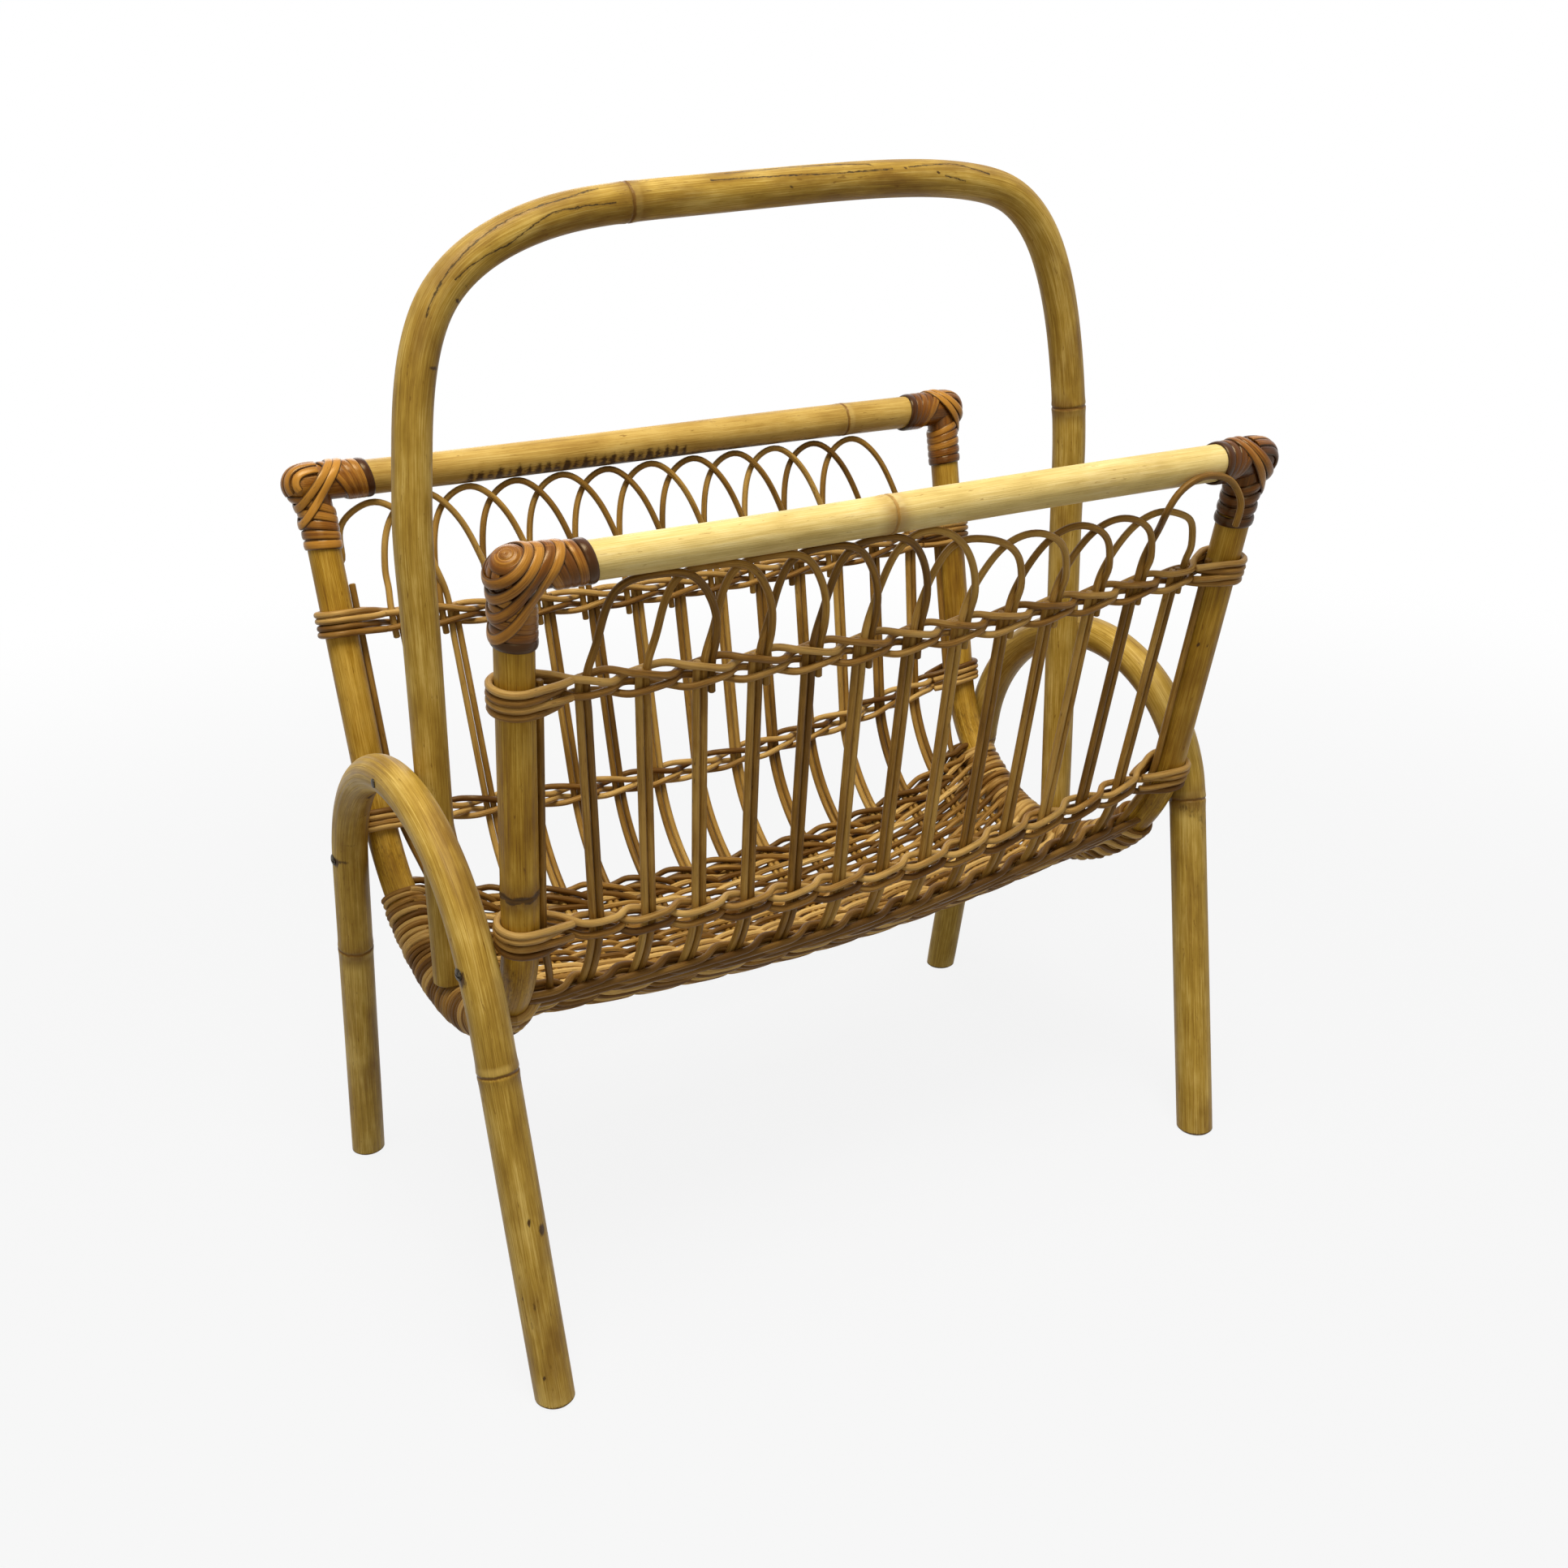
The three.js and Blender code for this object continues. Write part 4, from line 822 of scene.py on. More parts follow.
pole("handle_arch", "bamboo", woods["bamboo"], HANDLE_PATH, handle_radius, (0, 1, 0),
     HANDLE_RINGS, HANDLE_CRACKS, HANDLE_STAINS)
for side, end in SIDES.items():
    rings, stains_and_shade = LEG_LOOKS[side]
    pole(f"{end}_leg_arch", "bamboo", woods["bamboo"], arch_path(side),
         tapered(LEG_DIAMETER[side, -1], LEG_DIAMETER[side, 1]), (side, 0, 0), rings, (), stains_and_shade,
         dark_ends=True, grounded=True)
    rings, stains_and_shade = FRAME_LOOKS[side]
    pole(f"{end}_basket_frame", "bamboo", woods["stile_bamboo"], frame_path(side),
         tapered(FRAME_DIAMETER, FRAME_DIAMETER), (side, 0, 0), rings, (), stains_and_shade)
for face, front in FACES.items():
    rings, stains_and_shade, look = RAIL_LOOKS[face]
    pole(f"{front}_rail", "pale_bamboo", woods[look], rail_path(face),
         tapered(RAIL_DIAMETER[-1, face], RAIL_DIAMETER[1, face]), (0, face, 0), rings, (), stains_and_shade)

# Reeds
REED_SIDES = 12
BODY_POINTS = 60


def reed_body(place, lower, back, front, back_rise):
    top_back = upper_girth(1, place)
    top_front = upper_girth(-1, place)
    girths = np.linspace(top_back + back_rise, -top_front - STUB_RISE, BODY_POINTS)
    points = []
    for girth in girths:
        face, upper = (1, back) if girth > 0 else (-1, front)
        points.append(woven_point(reed_at(face, place, abs(girth), lower, upper), girth))
    return points, girths


def arch_point(face, x, rise, out):
    height = lerp(between(UPPER_ROW_HEIGHT, face, x), arch_top(face, x), rise)
    return woven_point(x, face * girth_at(height), out)


def arch_shares(face, start):
    leaning = smoothstep(start, STEEP_UNTIL, LEANING_FROM) if face < 0 else 1.0
    return lerp(STEEP_ARCH_SHARES, REED_ARCH_SHARES, leaning)


def last_arch(face, start, direction):
    beside = (FRAME_RADIUS + LACE_THICKNESS + REED_GAP + REED_RADIUS + 0.0006) * math.sqrt(0.5)
    span = direction * (frame_at(RAIL_HEIGHT) - beside) - start
    points = []
    for along, rise, swing in REED_ARCH_SHARES:
        if along < LAST_ARCH_UNTIL:
            out = swing * (beside if swing > 0 else REED_SWING)
            points.append(arch_point(face, start + along * span, rise, out))
    points.append(arch_point(face, start + span, LAST_LANDING_SHARE, beside))
    return points


# The last arch of the front passes before the rail and its lashing
FRONT_LAST_ARCH = [
    (0.1434, -0.1325, 0.3761), (0.1481, -0.1345, 0.3847), (0.1548, -0.1364, 0.3901),
    (0.1631, -0.1372, 0.3924), (0.1717, -0.1374, 0.3918), (0.1807, -0.1374, 0.3887),
    (0.1874, -0.1371, 0.3824), (0.1911, -0.1366, 0.3755), (0.1915, -0.1354, 0.3686),
    (0.191, -0.134, 0.3631),
]


def reed_arch(face, place, direction):
    start = place_at(place, upper_girth(face, place))
    landing = place + direction * SPANNED_PLACES
    if face < 0 and landing - MIDDLE_PLACE == MIDDLE_PLACE:
        rising = [arch_point(face, start + along * 0.04, rise, swing * REED_SWING)
                  for along, rise, swing in REED_ARCH_SHARES[1:4]]
        return rising + [np.array(point) for point in FRONT_LAST_ARCH]
    if abs(landing - MIDDLE_PLACE) == MIDDLE_PLACE:
        return last_arch(face, start, direction)

    def beside(girth):
        return reed_at(face, landing, girth, 1.5 * direction * REED_STEP, direction * REED_STEP)

    span = beside(upper_girth(face, landing)) - start
    points = [arch_point(face, start + along * span, rise, swing * REED_SWING)
              for along, rise, swing in arch_shares(face, start)]
    tail = upper_girth(face, landing) - TAIL_DROP - 0.002
    points.append(woven_point(beside(tail), face * tail))
    return points


def paired_reed(face, place):
    direction = -face
    back, front = (REED_STEP, 0.0) if face < 0 else (0.0, -REED_STEP)
    points, girths = reed_body(place, direction * REED_STEP / 2, back, front, STUB_RISE)
    landing = place + direction * SPANNED_PLACES
    if abs(landing - MIDDLE_PLACE) <= MIDDLE_PLACE:
        row = upper_girth(face, place)
        kept = [p for p, g in zip(points, girths) if g * face < row - 0.004]
        arch = reed_arch(face, place, direction)
        points = kept + arch if face < 0 else arch[::-1] + kept
    return spline(points, 420)


def reed(node, points, step):
    shape = Shape()
    sweep(shape, evenly(points, step), REED_RADIUS, circle(REED_SIDES), age=chance.random())
    shape.piece(node, "reed", woods["reed"])


for face, front in FACES.items():
    for place in range(1, REED_PLACES - 1):
        reed(f"reed_{front}_{place:02d}", paired_reed(face, place), 0.0026)
for side, end in SIDES.items():
    points, _ = reed_body(MIDDLE_PLACE + side * MIDDLE_PLACE, 0.0, 0.0, 0.0, END_REED_RISE)
    reed(f"{end}_end_reed", spline(points, 300), 0.003)


# Rows of two twisted pairs, whose strands go round both stiles
STRAND_CLEAR = 0.0001
STRAND_END = 0.024  # from the middle of the stile
BEHIND_STILE = 0.0025
WRAP_SPREAD, LEVEL_SPREAD = 0.0004, 0.0005
BESIDE_STILE = 0.97  # of the reach of a wrap
ROW_POINTS = 330
ROW_TWIST = 1.05 * STRAND_RADIUS
LEVEL_FROM, LEVEL_FULL = 0.045, 0.014  # from the stile, where the strands go to their levels
FLATNESS = 2.2
SPREAD_OF_THICKNESS = 0.05


def flattened(wave):
    return math.tanh(FLATNESS * wave) / math.tanh(FLATNESS)


def strand_path(face, heights, level, slant):
    half = frame_at((heights[-1, face] + heights[1, face]) / 2)
    places = [place_at(place, girth_at(between(heights, face, place_at(place, UPPER_PITCH_GIRTH))))
              for place in range(REED_PLACES)]
    side = 1 if level % 2 == 0 else -1
    wrap = FRAME_RADIUS + STRAND_RADIUS + STRAND_CLEAR + WRAP_SPREAD * chance.random()
    amplitude = REED_RADIUS + STRAND_RADIUS + STRAND_CLEAR
    centre = (1 if level > 1 else -1) * PAIR_APART / 2
    end_level = (level - 1.5) * LEVEL_APART + LEVEL_SPREAD * chance.standard_normal()
    inner = half - ROW_FLARE_LENGTH
    tail = [(lerp(STRAND_END, BEHIND_STILE, share),
             -side * lerp(amplitude, wrap * BESIDE_STILE, share**0.7))
            for share in np.linspace(0, 1, 8, endpoint=False)]
    around = [(wrap * math.cos(angle), side * wrap * math.sin(angle))
              for angle in np.linspace(-WRAP_ANGLE, WRAP_ANGLE, 30)]
    plan = [(-half + away, out) for away, out in tail]
    plan += [(-half - away, out) for away, out in around]
    for x in np.linspace(-half + 0.004, half - 0.004, ROW_POINTS):
        place = np.interp(x, places, range(REED_PLACES))
        wave = amplitude * side * flattened(math.cos(math.pi * place))
        near = smoothstep(abs(x), inner, half - 0.002)
        plan.append((x, lerp(wave, side * wrap * BESIDE_STILE, near)))
    plan += [(half + away, out) for away, out in around[::-1]]
    plan += [(half - away, out) for away, out in tail[::-1]]
    points = []
    for x, out in plan:
        place = np.interp(x, places, range(REED_PLACES))
        twist = -slant * face * side * ROW_TWIST * math.sin(math.pi * place)
        ends = smoothstep(abs(x), half - LEVEL_FROM, half - LEVEL_FULL)
        offset = lerp(centre + twist, end_level, ends)
        girth = girth_at(between(heights, face, x)) + offset
        stretch = frame_at(section(girth)[1]) / half
        points.append(woven_point(x * stretch, face * girth, out))
    return evenly(smoothed(np.array(points), 2), 0.0017)


ROW_SLANTS = {(-1, "upper"): (1, -1), (1, "upper"): (1, -1),
              (-1, "lower"): (1, 1), (1, "lower"): (1, -1)}
for face, front in FACES.items():
    for row, heights in (("upper", UPPER_ROW_HEIGHT), ("lower", LOWER_ROW_HEIGHT)):
        shape = Shape()
        for level in range(4):
            path = strand_path(face, heights, level, ROW_SLANTS[face, row][level // 2])
            sweep(shape, path, STRAND_RADIUS, circle(10), age=chance.random())
        shape.piece(f"{front}_{row}_row", "cane", woods["cane"])


# Floor: weavers over and under the pairs of reeds, which end at the windings of the bars
FLOOR_HALF_LENGTH = frame_at(FLOOR_BAR_HEIGHT)
FLOOR_FRONT_GIRTH = -0.0855
FLOOR_BACK_GIRTH = 0.0575
WAIST_END = 0.012  # from the bar, where the floor has its full width


def weaver_girth(share, x):
    full = WEAVER_APART * (WEAVERS - 1) / 2
    drawn = 1 - min(abs(x / (FLOOR_HALF_LENGTH - WAIST_END)), 1) ** 4
    return lerp(lerp(-full, full, share), lerp(FLOOR_FRONT_GIRTH, FLOOR_BACK_GIRTH, share), drawn)


WEAVER_REACH = FLOOR_HALF_LENGTH - 0.0005
WEAVER_WAVE = 0.55  # of what would clear the reeds, which it goes 1.5 mm into
ONTO_BAR_FROM, ONTO_BAR_FULL = 0.014, 0.002  # from the end
WANDER = ((0.00035, 1.7), (0.0002, 4.1))  # amplitude and turn by place
FLOOR_PLACES = [place_at(place, 0.0) for place in range(REED_PLACES)]


def weaver_path(index):
    side = 1 if index % 2 == 0 else -1
    amplitude = WEAVER_WAVE * (REED_RADIUS + WEAVER_RADIUS)
    wander = chance.random(3) * 6
    points = []
    for x in np.linspace(-WEAVER_REACH, WEAVER_REACH, 260):
        place = np.interp(x, FLOOR_PLACES, range(REED_PLACES))
        wave = amplitude * side * flattened(math.cos(math.pi * place))
        near = smoothstep(abs(x), WEAVER_REACH - ONTO_BAR_FROM, WEAVER_REACH - ONTO_BAR_FULL)
        onto = math.copysign(FRAME_RADIUS + WEAVER_RADIUS * 0.9, wave)
        girth = weaver_girth(index / (WEAVERS - 1), x)
        girth += sum(height * math.sin(place * turn + start)
                     for (height, turn), start in zip(WANDER, wander))
        points.append(woven_point(x, girth, lerp(wave, onto, near)))
    return evenly(smoothed(np.array(points), 2), 0.002)


# The front and back edges: three strands, each before two pairs of reeds and behind the third
BORDER_RADIUS = 0.00175
BORDER_RISE = 0.0046
BORDER_BEYOND, BORDER_APART = 0.0012, 0.0062


def border_path(face, layer, index):
    amplitude = REED_RADIUS + BORDER_RADIUS
    points = []
    for x in np.linspace(-WEAVER_REACH + 0.004, WEAVER_REACH - 0.004, 420):
        place = np.interp(x, FLOOR_PLACES, range(REED_PLACES))
        phase = (place + index + 0.5) / 3 % 1
        out = amplitude * math.tanh(3 * (math.cos(2 * math.pi * (phase - 1 / 3)) + 0.45))
        rise = lerp(-1, 1, phase * 1.5) if phase < 2 / 3 else lerp(1, -1, (phase - 2 / 3) * 3)
        edge = abs(weaver_girth(0.0 if face < 0 else 1.0, x))
        girth = edge + BORDER_BEYOND + BORDER_APART * layer + BORDER_RISE * rise
        points.append(woven_point(x, face * girth, out + 0.0004 * layer))
    return evenly(smoothed(np.array(points), 5), 0.002)


shape = Shape()
for index in range(WEAVERS):
    thick = WEAVER_RADIUS * (1 + SPREAD_OF_THICKNESS * chance.standard_normal())
    sweep(shape, weaver_path(index), thick, circle(8), age=chance.random())
for face in (-1, 1):
    for layer in range(2):
        for index in range(3):
            # The edge strands take only the darker tones, age under 0.45, as painted shade
            sweep(shape, border_path(face, layer, index), BORDER_RADIUS, circle(10),
                  age=0.45 * chance.random())
shape.piece("woven_floor", "cane", woods["floor_cane"])

# Windings round the floor bars
WINDING_RADIUS = 0.00162
WINDING_AWAY = 0.85  # of its own radius off the bar, into which it is drawn a little
for side, end in SIDES.items():
    shape = Shape()
    for loop in range(WEAVERS):
        middle = BEND_RADIUS * WINDING_HALF_ANGLE * (2 * (loop + 0.5) / WEAVERS - 1)
        lean, turned = 0.0003 + 0.0006 * chance.random(), chance.random() * 6
        thick = WINDING_RADIUS * (1 + SPREAD_OF_THICKNESS * chance.standard_normal())
        points, outs = [], []
        for turn in np.linspace(0, 2 * math.pi, 40, endpoint=False):
            girth = middle + lean * math.sin(turn + turned)
            _, _, out = section(girth)
            away = np.array((math.sin(turn), out[0] * math.cos(turn), out[1] * math.cos(turn)))
            points.append(frame_point(side, girth) + away * (FRAME_RADIUS + thick * WINDING_AWAY))
            outs.append(away)
        sweep(shape, np.array(points), thick, circle(10), np.array(outs), closed=True,
              age=chance.random())
    shape.piece(f"{end}_floor_winding", "cane", woods["cane"])


# Lashings: flat strips round the rail, round the stile and over the corner
KNOB_TIP = (-0.4, -0.46, 0.79)
KNOB_ROOT = 0.0054
KNOB_RISE = 0.0056
KNOB_RADIUS = 0.0078
CAP_REACH = {(-1, -1): 0.0002, (-1, 1): 0.0052, (1, -1): 0.0052, (1, 1): 0.0038}
BLEND_WIDTH = 0.004  # over which the rail and the stile melt into each other under the strips
STRIP_STEP = 0.0012
FARTHEST = 0.05
BOUND_LENGTH = 0.07


def capsule(points, first, last, radius):
    line = last - first
    share = np.clip((points - first) @ line / (line @ line), 0, 1)
    return np.linalg.norm(points - first - share[:, None] * line, axis=1) - radius


class Corner:
    def __init__(self, side, face):
        self.centre = np.array((side * frame_at(RAIL_HEIGHT), face * RAIL_Y, RAIL_HEIGHT))
        self.down = unit(frame_point(side, face * BEND_GIRTH) - self.centre)
        self.along = np.array((-side, 0.0, 0.0))
        self.rail = RAIL_DIAMETER[side, face] / 2
        self.end = self.centre - self.along * CAP_REACH[side, face]

    def distance(self, points):
        rail = capsule(points, self.end, self.centre + self.along * BOUND_LENGTH, self.rail)
        stile = capsule(points, self.centre, self.centre + self.down * BOUND_LENGTH, FRAME_RADIUS)
        mixed = np.clip(0.5 + 0.5 * (stile - rail) / BLEND_WIDTH, 0, 1)
        return lerp(stile, rail, mixed) - BLEND_WIDTH * mixed * (1 - mixed)

    def away(self, points):
        step = 1e-5
        slopes = [self.distance(points + step * axis) - self.distance(points - step * axis)
                  for axis in np.eye(3)]
        slopes = np.stack(slopes, axis=1)
        return slopes / np.linalg.norm(slopes, axis=1)[:, None]

    # How far the bound form reaches from an inner point, in the plane of two directions
    def outline(self, inner, u, v, turn, lift):
        rays = np.outer(np.cos(turn), u) + np.outer(np.sin(turn), v)
        low, high = np.zeros(len(turn)), np.full(len(turn), FARTHEST)
        for _ in range(24):
            middle = (low + high) / 2
            inside = self.distance(inner + rays * middle[:, None]) < lift
            low, high = np.where(inside, middle, low), np.where(inside, high, middle)
        return np.stack((low * np.cos(turn), low * np.sin(turn)), axis=1)

    def laid(self, inner, u, v, line, closed):
        line = evenly(np.column_stack((line, np.zeros(len(line)))), STRIP_STEP)
        line = line[:-1] if closed else line
        points = inner + line[:, :1] * u + line[:, 1:2] * v
        return points, self.away(points)

    # The taut loop of a strip in a plane through an inner point
    def loop(self, inner, normal, lift):
        normal = unit(normal)
        u = unit(np.cross(normal, (0.3, 0.9, 0.2)))
        v = np.cross(normal, u)
        turn = np.linspace(0, 2 * np.pi, 120, endpoint=False)
        hull = taut(self.outline(inner, u, v, turn, lift))
        return self.laid(inner, u, v, np.concatenate((hull, hull[:1])), True)

    # A ring of the knob on the end of the rail, by its angle from the knob's tip
    def knob_ring(self, angle):
        outwards = unit(KNOB_TIP)
        root = self.centre + outwards * KNOB_ROOT
        u = unit(np.cross(outwards, (0.0, 0.0, 1.0)))
        v = np.cross(outwards, u)
        turn = np.linspace(0, 2 * np.pi, 48, endpoint=False)
        away = np.outer(np.cos(turn), u) + np.outer(np.sin(turn), v)
        points = (root + outwards * KNOB_RISE * math.cos(angle)
                  + away * KNOB_RADIUS * math.sin(angle))
        outs = away * math.sin(angle) / KNOB_RADIUS + outwards * math.cos(angle) / KNOB_RISE
        return points, outs / np.linalg.norm(outs, axis=1)[:, None]

    # An open strip from the top of the rail over its end and down the outside of the stile
    def over_end(self, offset):
        across = unit(np.cross(self.along, self.down))
        inner = self.centre + across * offset + self.along * 0.001
        turn = np.linspace(math.radians(78), math.radians(200), 60)
        flat = self.outline(inner, self.along, -self.down, turn, LACE_THICKNESS * 0.5)
        hull = taut(np.concatenate((flat, [(0.0, 0.0)])))
        start = int(np.argmin(np.linalg.norm(hull, axis=1)))
        arc = np.roll(hull, -start - 1, axis=0)[:-1]
        return self.laid(inner, self.along, -self.down, arc, False)


def taut(points):
    order = sorted(map(tuple, points))

    def half(sequence):
        kept = []
        for p in sequence:
            while len(kept) > 1 and (
                (kept[-1][0] - kept[-2][0]) * (p[1] - kept[-2][1])
                - (kept[-1][1] - kept[-2][1]) * (p[0] - kept[-2][0]) <= 0
            ):
                kept.pop()
            kept.append(p)
        return kept[:-1]

    return np.array(half(order) + half(order[::-1]))


# The section of a strip: shares of its thickness and of half its width
STRIP = np.array([
    (0.62, 0.0), (0.56, 0.4), (0.4, 0.72), (0.1, 0.94), (-0.22, 1.0), (-0.5, 0.9),
    (-0.5, 0.0), (-0.5, -0.9), (-0.22, -1.0), (0.1, -0.94), (0.4, -0.72), (0.56, -0.4),
])


# The side edges of a strip, which the lashing's material darkens as painted shade in the gaps
# between strips
def painted_edge_shade_of(at, turn, radius):
    return None, smoothstep(np.abs(np.sin(turn)), 0.95, 0.999)


def strip(shape, line, width, age, closed=True):
    points, outs = line
    sweep(shape, points, width / 2, STRIP * (2 * LACE_THICKNESS / width, 1.0), outs,
          closed=closed, age=age, bevel=0.1, marker=painted_edge_shade_of)


# By corner: offsets in mm of the diagonal loops from the corner, angles of the knob's rings, tones
# of the liner and of the strips, and how far the turns go along the rail and down the stile
CORNERS = {
    (-1, -1): ((-9.4, -4.6, 0.2, 5.0), (56, 33, 11), 0.15, 0.5, 0.0338, 0.0318),
    (-1, 1): ((-5.4, -0.8), (), 0.55, 0.68, 0.0305, 0.0345),
    (1, -1): ((-4.0, 0.8), (), 0.3, 0.4, 0.0265, 0.0345),
    (1, 1): ((-1.5, 3.0), (), 0.45, 0.55, 0.0305, 0.0345),
}
DARK_AGE = 0.12
TONE_SPREAD = 0.3
OVER_END_OFFSETS = (-0.0083, -0.0044, 0.0, 0.0044, 0.0083)
RAIL_TILTS, STILE_TILTS = (34, 10), (24, 6)
RAIL_TURNS_FROM, STILE_TURNS_FROM = 0.0135, 0.0125
TURN_WIDTH, RING_WIDTH = LACE_WIDTH * 1.08, LACE_WIDTH * 0.86
CAP_ANGLES = np.array((1.5, 1.2, 0.9, 0.6, 0.3, 0.0))
LINER_THICKNESS = 0.0003
LONG_LASHING = 0.03  # from which it has five turns and not four


def lashing(side, face):
    corner = Corner(side, face)
    diagonals, knob, liner_age, tone, length, drop = CORNERS[side, face]
    shape = Shape()

    def varied():
        return tone + TONE_SPREAD * (chance.random() - 0.5)

    over = [corner.end - corner.along * corner.rail * math.sin(angle) for angle in CAP_ANGLES]
    inner_end = corner.centre + corner.along * (length - 0.002)
    path = np.array(over + [lerp(over[-1], inner_end, share) for share in (0.3, 0.6, 1.0)])
    radii = np.concatenate((np.cos(CAP_ANGLES), (1, 1, 1))) * (corner.rail + LINER_THICKNESS)
    sweep(shape, path, radii, circle(28), age=liner_age)
    path = np.array([corner.centre + corner.down * d for d in (-0.002, 0.008, 0.02, drop - 0.002)])
    sweep(shape, path, FRAME_RADIUS + LINER_THICKNESS, circle(28), age=liner_age)
    for offset in OVER_END_OFFSETS:
        strip(shape, corner.over_end(offset), LACE_WIDTH, varied(), closed=False)
    turns = 5 if length > LONG_LASHING else 4
    for line, other, tilts, first, last, ends_dark in (
            (corner.along, corner.down, RAIL_TILTS, RAIL_TURNS_FROM, length, True),
            (corner.down, corner.along, STILE_TILTS, STILE_TURNS_FROM, drop, face < 0)):
        for index in range(turns):
            share = index / (turns - 1)
            tilt = math.radians(lerp(*tilts, share**0.8))
            normal = line * math.cos(tilt) - other * math.sin(tilt)
            inner = corner.centre + line * lerp(first, last - LACE_WIDTH / 2, share)
            age = DARK_AGE if index == turns - 1 and ends_dark else varied()
            strip(shape, corner.loop(inner, normal, LACE_THICKNESS * 0.6), TURN_WIDTH, age)
    tip = unit(-corner.along - corner.down)
    for index, offset in enumerate(diagonals):
        lean = unit(tip + 0.12 * (index - 1.5) * corner.along)
        lift = LACE_THICKNESS * (1.35 + 0.1 * index)
        line = corner.loop(corner.centre + tip * offset / 1000, lean, lift)
        strip(shape, line, LACE_WIDTH, varied() + 0.1)
    for angle in knob:
        strip(shape, corner.knob_ring(math.radians(angle)), RING_WIDTH, varied())
    return shape


for face, front in FACES.items():
    for side, end in SIDES.items():
        lashing(side, face).piece(f"{front}_{end}_binding", "lashing_cane", woods["lashing_cane"])


# Screws, nails and pins
HEAD_RINGS, HEAD_SIDES = 14, 40
SLOT_DEPTH = 0.0009
SHANK_DEPTH = 0.01
NAIL_SIZE, SCREW_SIZE = (0.0023, 0.0007), (0.0031, 0.0013)  # radius and rise
SCREW_BELOW_ROW = 0.0092


# A screw or nail head, domed about its axis, and slotted for a screw
def head(node, centre, outwards, radius, rise, slotted):
    outwards = unit(outwards)
    u = unit(np.cross(outwards, (0.1, 1.0, 0.3)))
    v = np.cross(outwards, u)
    k = np.arange(HEAD_SIDES)
    turn = 2 * math.pi * k / HEAD_SIDES
    share = np.arange(1, HEAD_RINGS + 1)[:, None] / HEAD_RINGS
    a, b = share * radius * np.cos(turn), share * radius * np.sin(turn)
    cut = slotted & (np.abs(a) < radius * 0.13) & (share < 0.93)
    height = rise * np.sqrt(1 - share**2 * 0.92) - SLOT_DEPTH * cut
    dome = a[..., None] * u + b[..., None] * v + height[..., None] * outwards
    shank = (np.outer(np.cos(turn), u) + np.outer(np.sin(turn), v)) * radius * 0.55
    points = centre + np.concatenate((outwards[None] * rise * 0.9, dome.reshape(-1, 3),
                                      shank - outwards * SHANK_DEPTH))
    n = (k + 1) % HEAD_SIDES
    faces = list(np.stack((0 * k, 1 + k, 1 + n), axis=1))
    for ring in range(HEAD_RINGS):
        start = 1 + ring * HEAD_SIDES
        after = start + HEAD_SIDES
        faces += list(np.stack((start + k, after + k, after + n, start + n), axis=1))
    faces.append(1 + HEAD_RINGS * HEAD_SIDES + k[::-1])
    shape = Shape()
    shape.keep(points, faces, points, 0.5)
    shape.piece(node, "steel", steel)


for side, end in SIDES.items():
    height = ARCH_HEIGHT[side]
    thick = max(LEG_DIAMETER[side, -1], LEG_DIAMETER[side, 1])
    reach = handle_outside(side, height) + thick + TOUCH
    head(f"{end}_handle_nail", np.array((side * reach, ARCH_SET_BACK[side], height)),
         (side, 0, 0), *NAIL_SIZE, False)
    for face, front in FACES.items():
        height = min(crossing_height(side, face), LOWER_ROW_HEIGHT[side, face] - SCREW_BELOW_ROW)
        out = (arch_out(side, face, height) + section(girth_at(height))[0]) / 2
        reach = arch_x(side, face, height) + LEG_DIAMETER[side, face] / 2 - SCREW_SINK
        head(f"{front}_{end}_screw", np.array((side * reach, face * out, height)),
             (side, 0, 0), *SCREW_SIZE, True)
for name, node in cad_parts.items():
    if name.endswith("_pin"):  # hidden, so it keeps its shape
        node.data.materials.clear()
        node.data.materials.append(steel)

# Camera, fitted to the photograph
CAMERA_PLACE = (-0.4603, -0.7091, 0.5413)
camera = bpy.data.objects.new("camera", bpy.data.cameras.new("camera"))
bpy.context.scene.collection.objects.link(camera)
yaw, pitch, roll = (math.radians(angle) for angle in (30.09, 18.86, 1.78))
ahead = np.array((math.sin(yaw) * math.cos(pitch), math.cos(yaw) * math.cos(pitch),
                  -math.sin(pitch)))
right = np.array((math.cos(yaw), -math.sin(yaw), 0.0))
below = np.cross(ahead, right)
turned_right = right * math.cos(roll) + below * math.sin(roll)
turned_below = below * math.cos(roll) - right * math.sin(roll)
rotation = Matrix(np.stack((turned_right, -turned_below, -ahead), axis=1).tolist())
camera.matrix_world = Matrix.Translation(CAMERA_PLACE) @ rotation.to_4x4()
camera.data.sensor_width = 36.0
camera.data.lens = 37.63
camera.data.shift_x = 0.0519
camera.data.shift_y = -0.0315
camera.data.clip_start = 0.01
bpy.context.scene.camera = camera

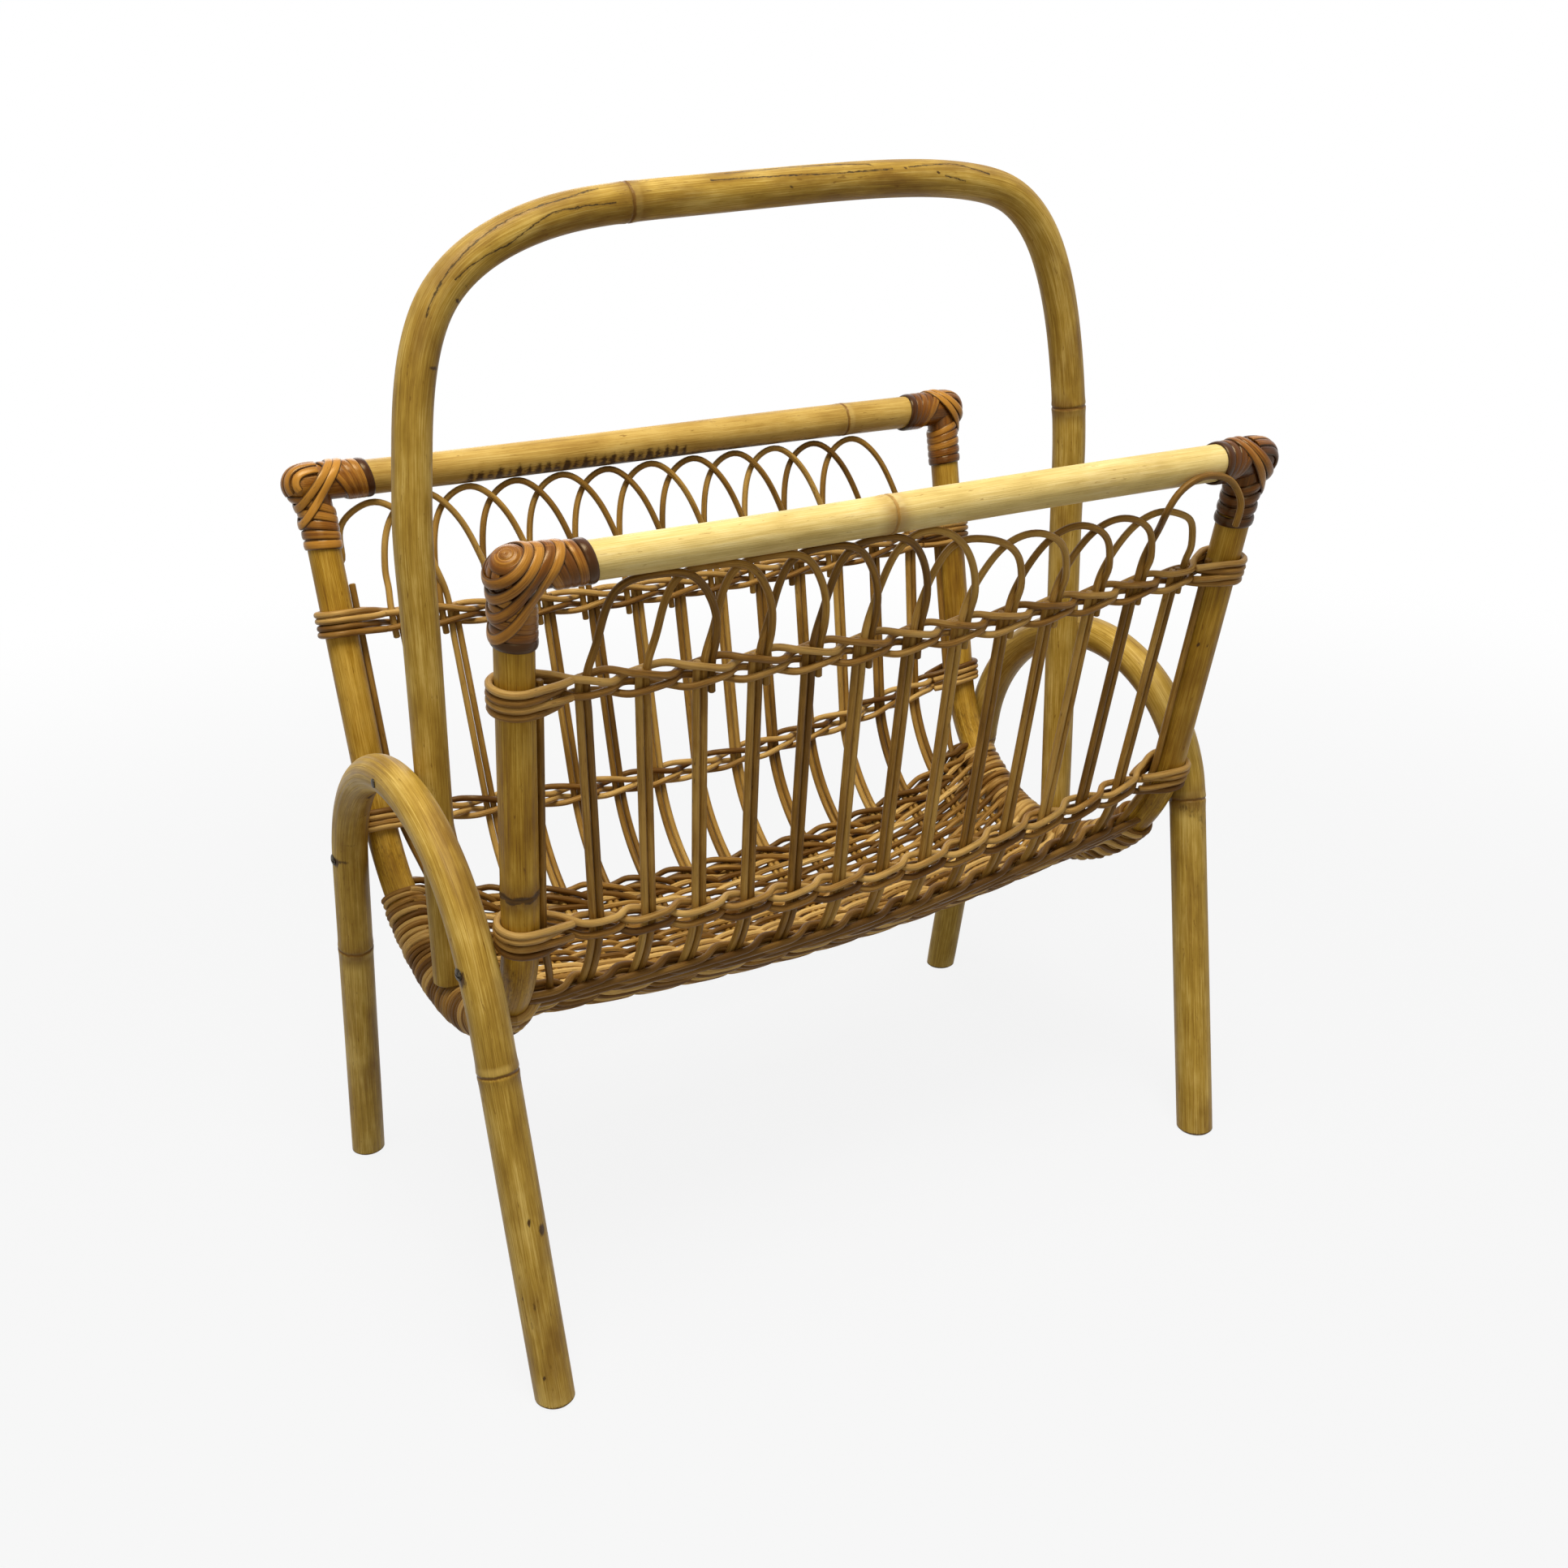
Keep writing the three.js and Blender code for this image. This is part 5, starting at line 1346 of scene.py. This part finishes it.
# Floor, world and lamps
WORLD_STRENGTH = 0.27
FLOOR_GREY = 0.3
FADE_FROM, FADE_UNTIL, FLOOR_PALENESS = 0.4, 1.6, 0.88
LAMP_TARGET = Vector((0, 0, 0.25))
bpy.ops.mesh.primitive_plane_add(size=60.0, location=(0, 0, -0.0002))
floor = bpy.context.object
floor.name = "floor"
t = Tree(bpy.data.materials.new("floor"))
distance = t.node("ShaderNodeVectorMath", operation="LENGTH")
t.put(distance.inputs[0], t.node("ShaderNodeTexCoord").outputs["Object"])
matte = t.node("ShaderNodeBsdfDiffuse")
t.set(matte, Color=(FLOOR_GREY,) * 3 + (1,))
glow = t.node("ShaderNodeEmission")
t.set(glow, Color=(1, 1, 1, 1), Strength=1.0)
blend = t.node("ShaderNodeMixShader")
paleness = t.range(distance.outputs["Value"], FADE_FROM, FADE_UNTIL, FLOOR_PALENESS, 1.0)
shares = (t.math("MULTIPLY", t.background_rays(), paleness), matte.outputs[0], glow.outputs[0])
for socket, value in zip(blend.inputs, shares):
    t.put(socket, value)
t.set(t.output, Surface=blend.outputs[0])
floor.data.materials.append(t.owner)

bpy.context.scene.world = bpy.data.worlds.new("world")
t = Tree(bpy.context.scene.world, "ShaderNodeOutputWorld")
sky = t.node("ShaderNodeBackground")
t.set(sky, Color=(1, 1, 1, 1), Strength=t.range(t.background_rays(), 0, 1, WORLD_STRENGTH, 1.0))
t.set(t.output, Surface=sky.outputs[0])


def lamp(name, place, size, power):
    data = bpy.data.lights.new(name, "AREA")
    data.shape = "DISK"
    data.size = size
    data.energy = power
    made = bpy.data.objects.new(name, data)
    bpy.context.scene.collection.objects.link(made)
    made.location = place
    made.rotation_euler = (LAMP_TARGET - made.location).to_track_quat("-Z", "Y").to_euler()


lamp("key", (-0.35, -0.5, 2.2), 1.1, 56)
lamp("fill", (-0.9, -2.1, 1.1), 1.4, 8)
lamp("back", (0.6, 2.2, 1.3), 1.4, 9)

bpy.context.scene.view_settings.view_transform = "Standard"
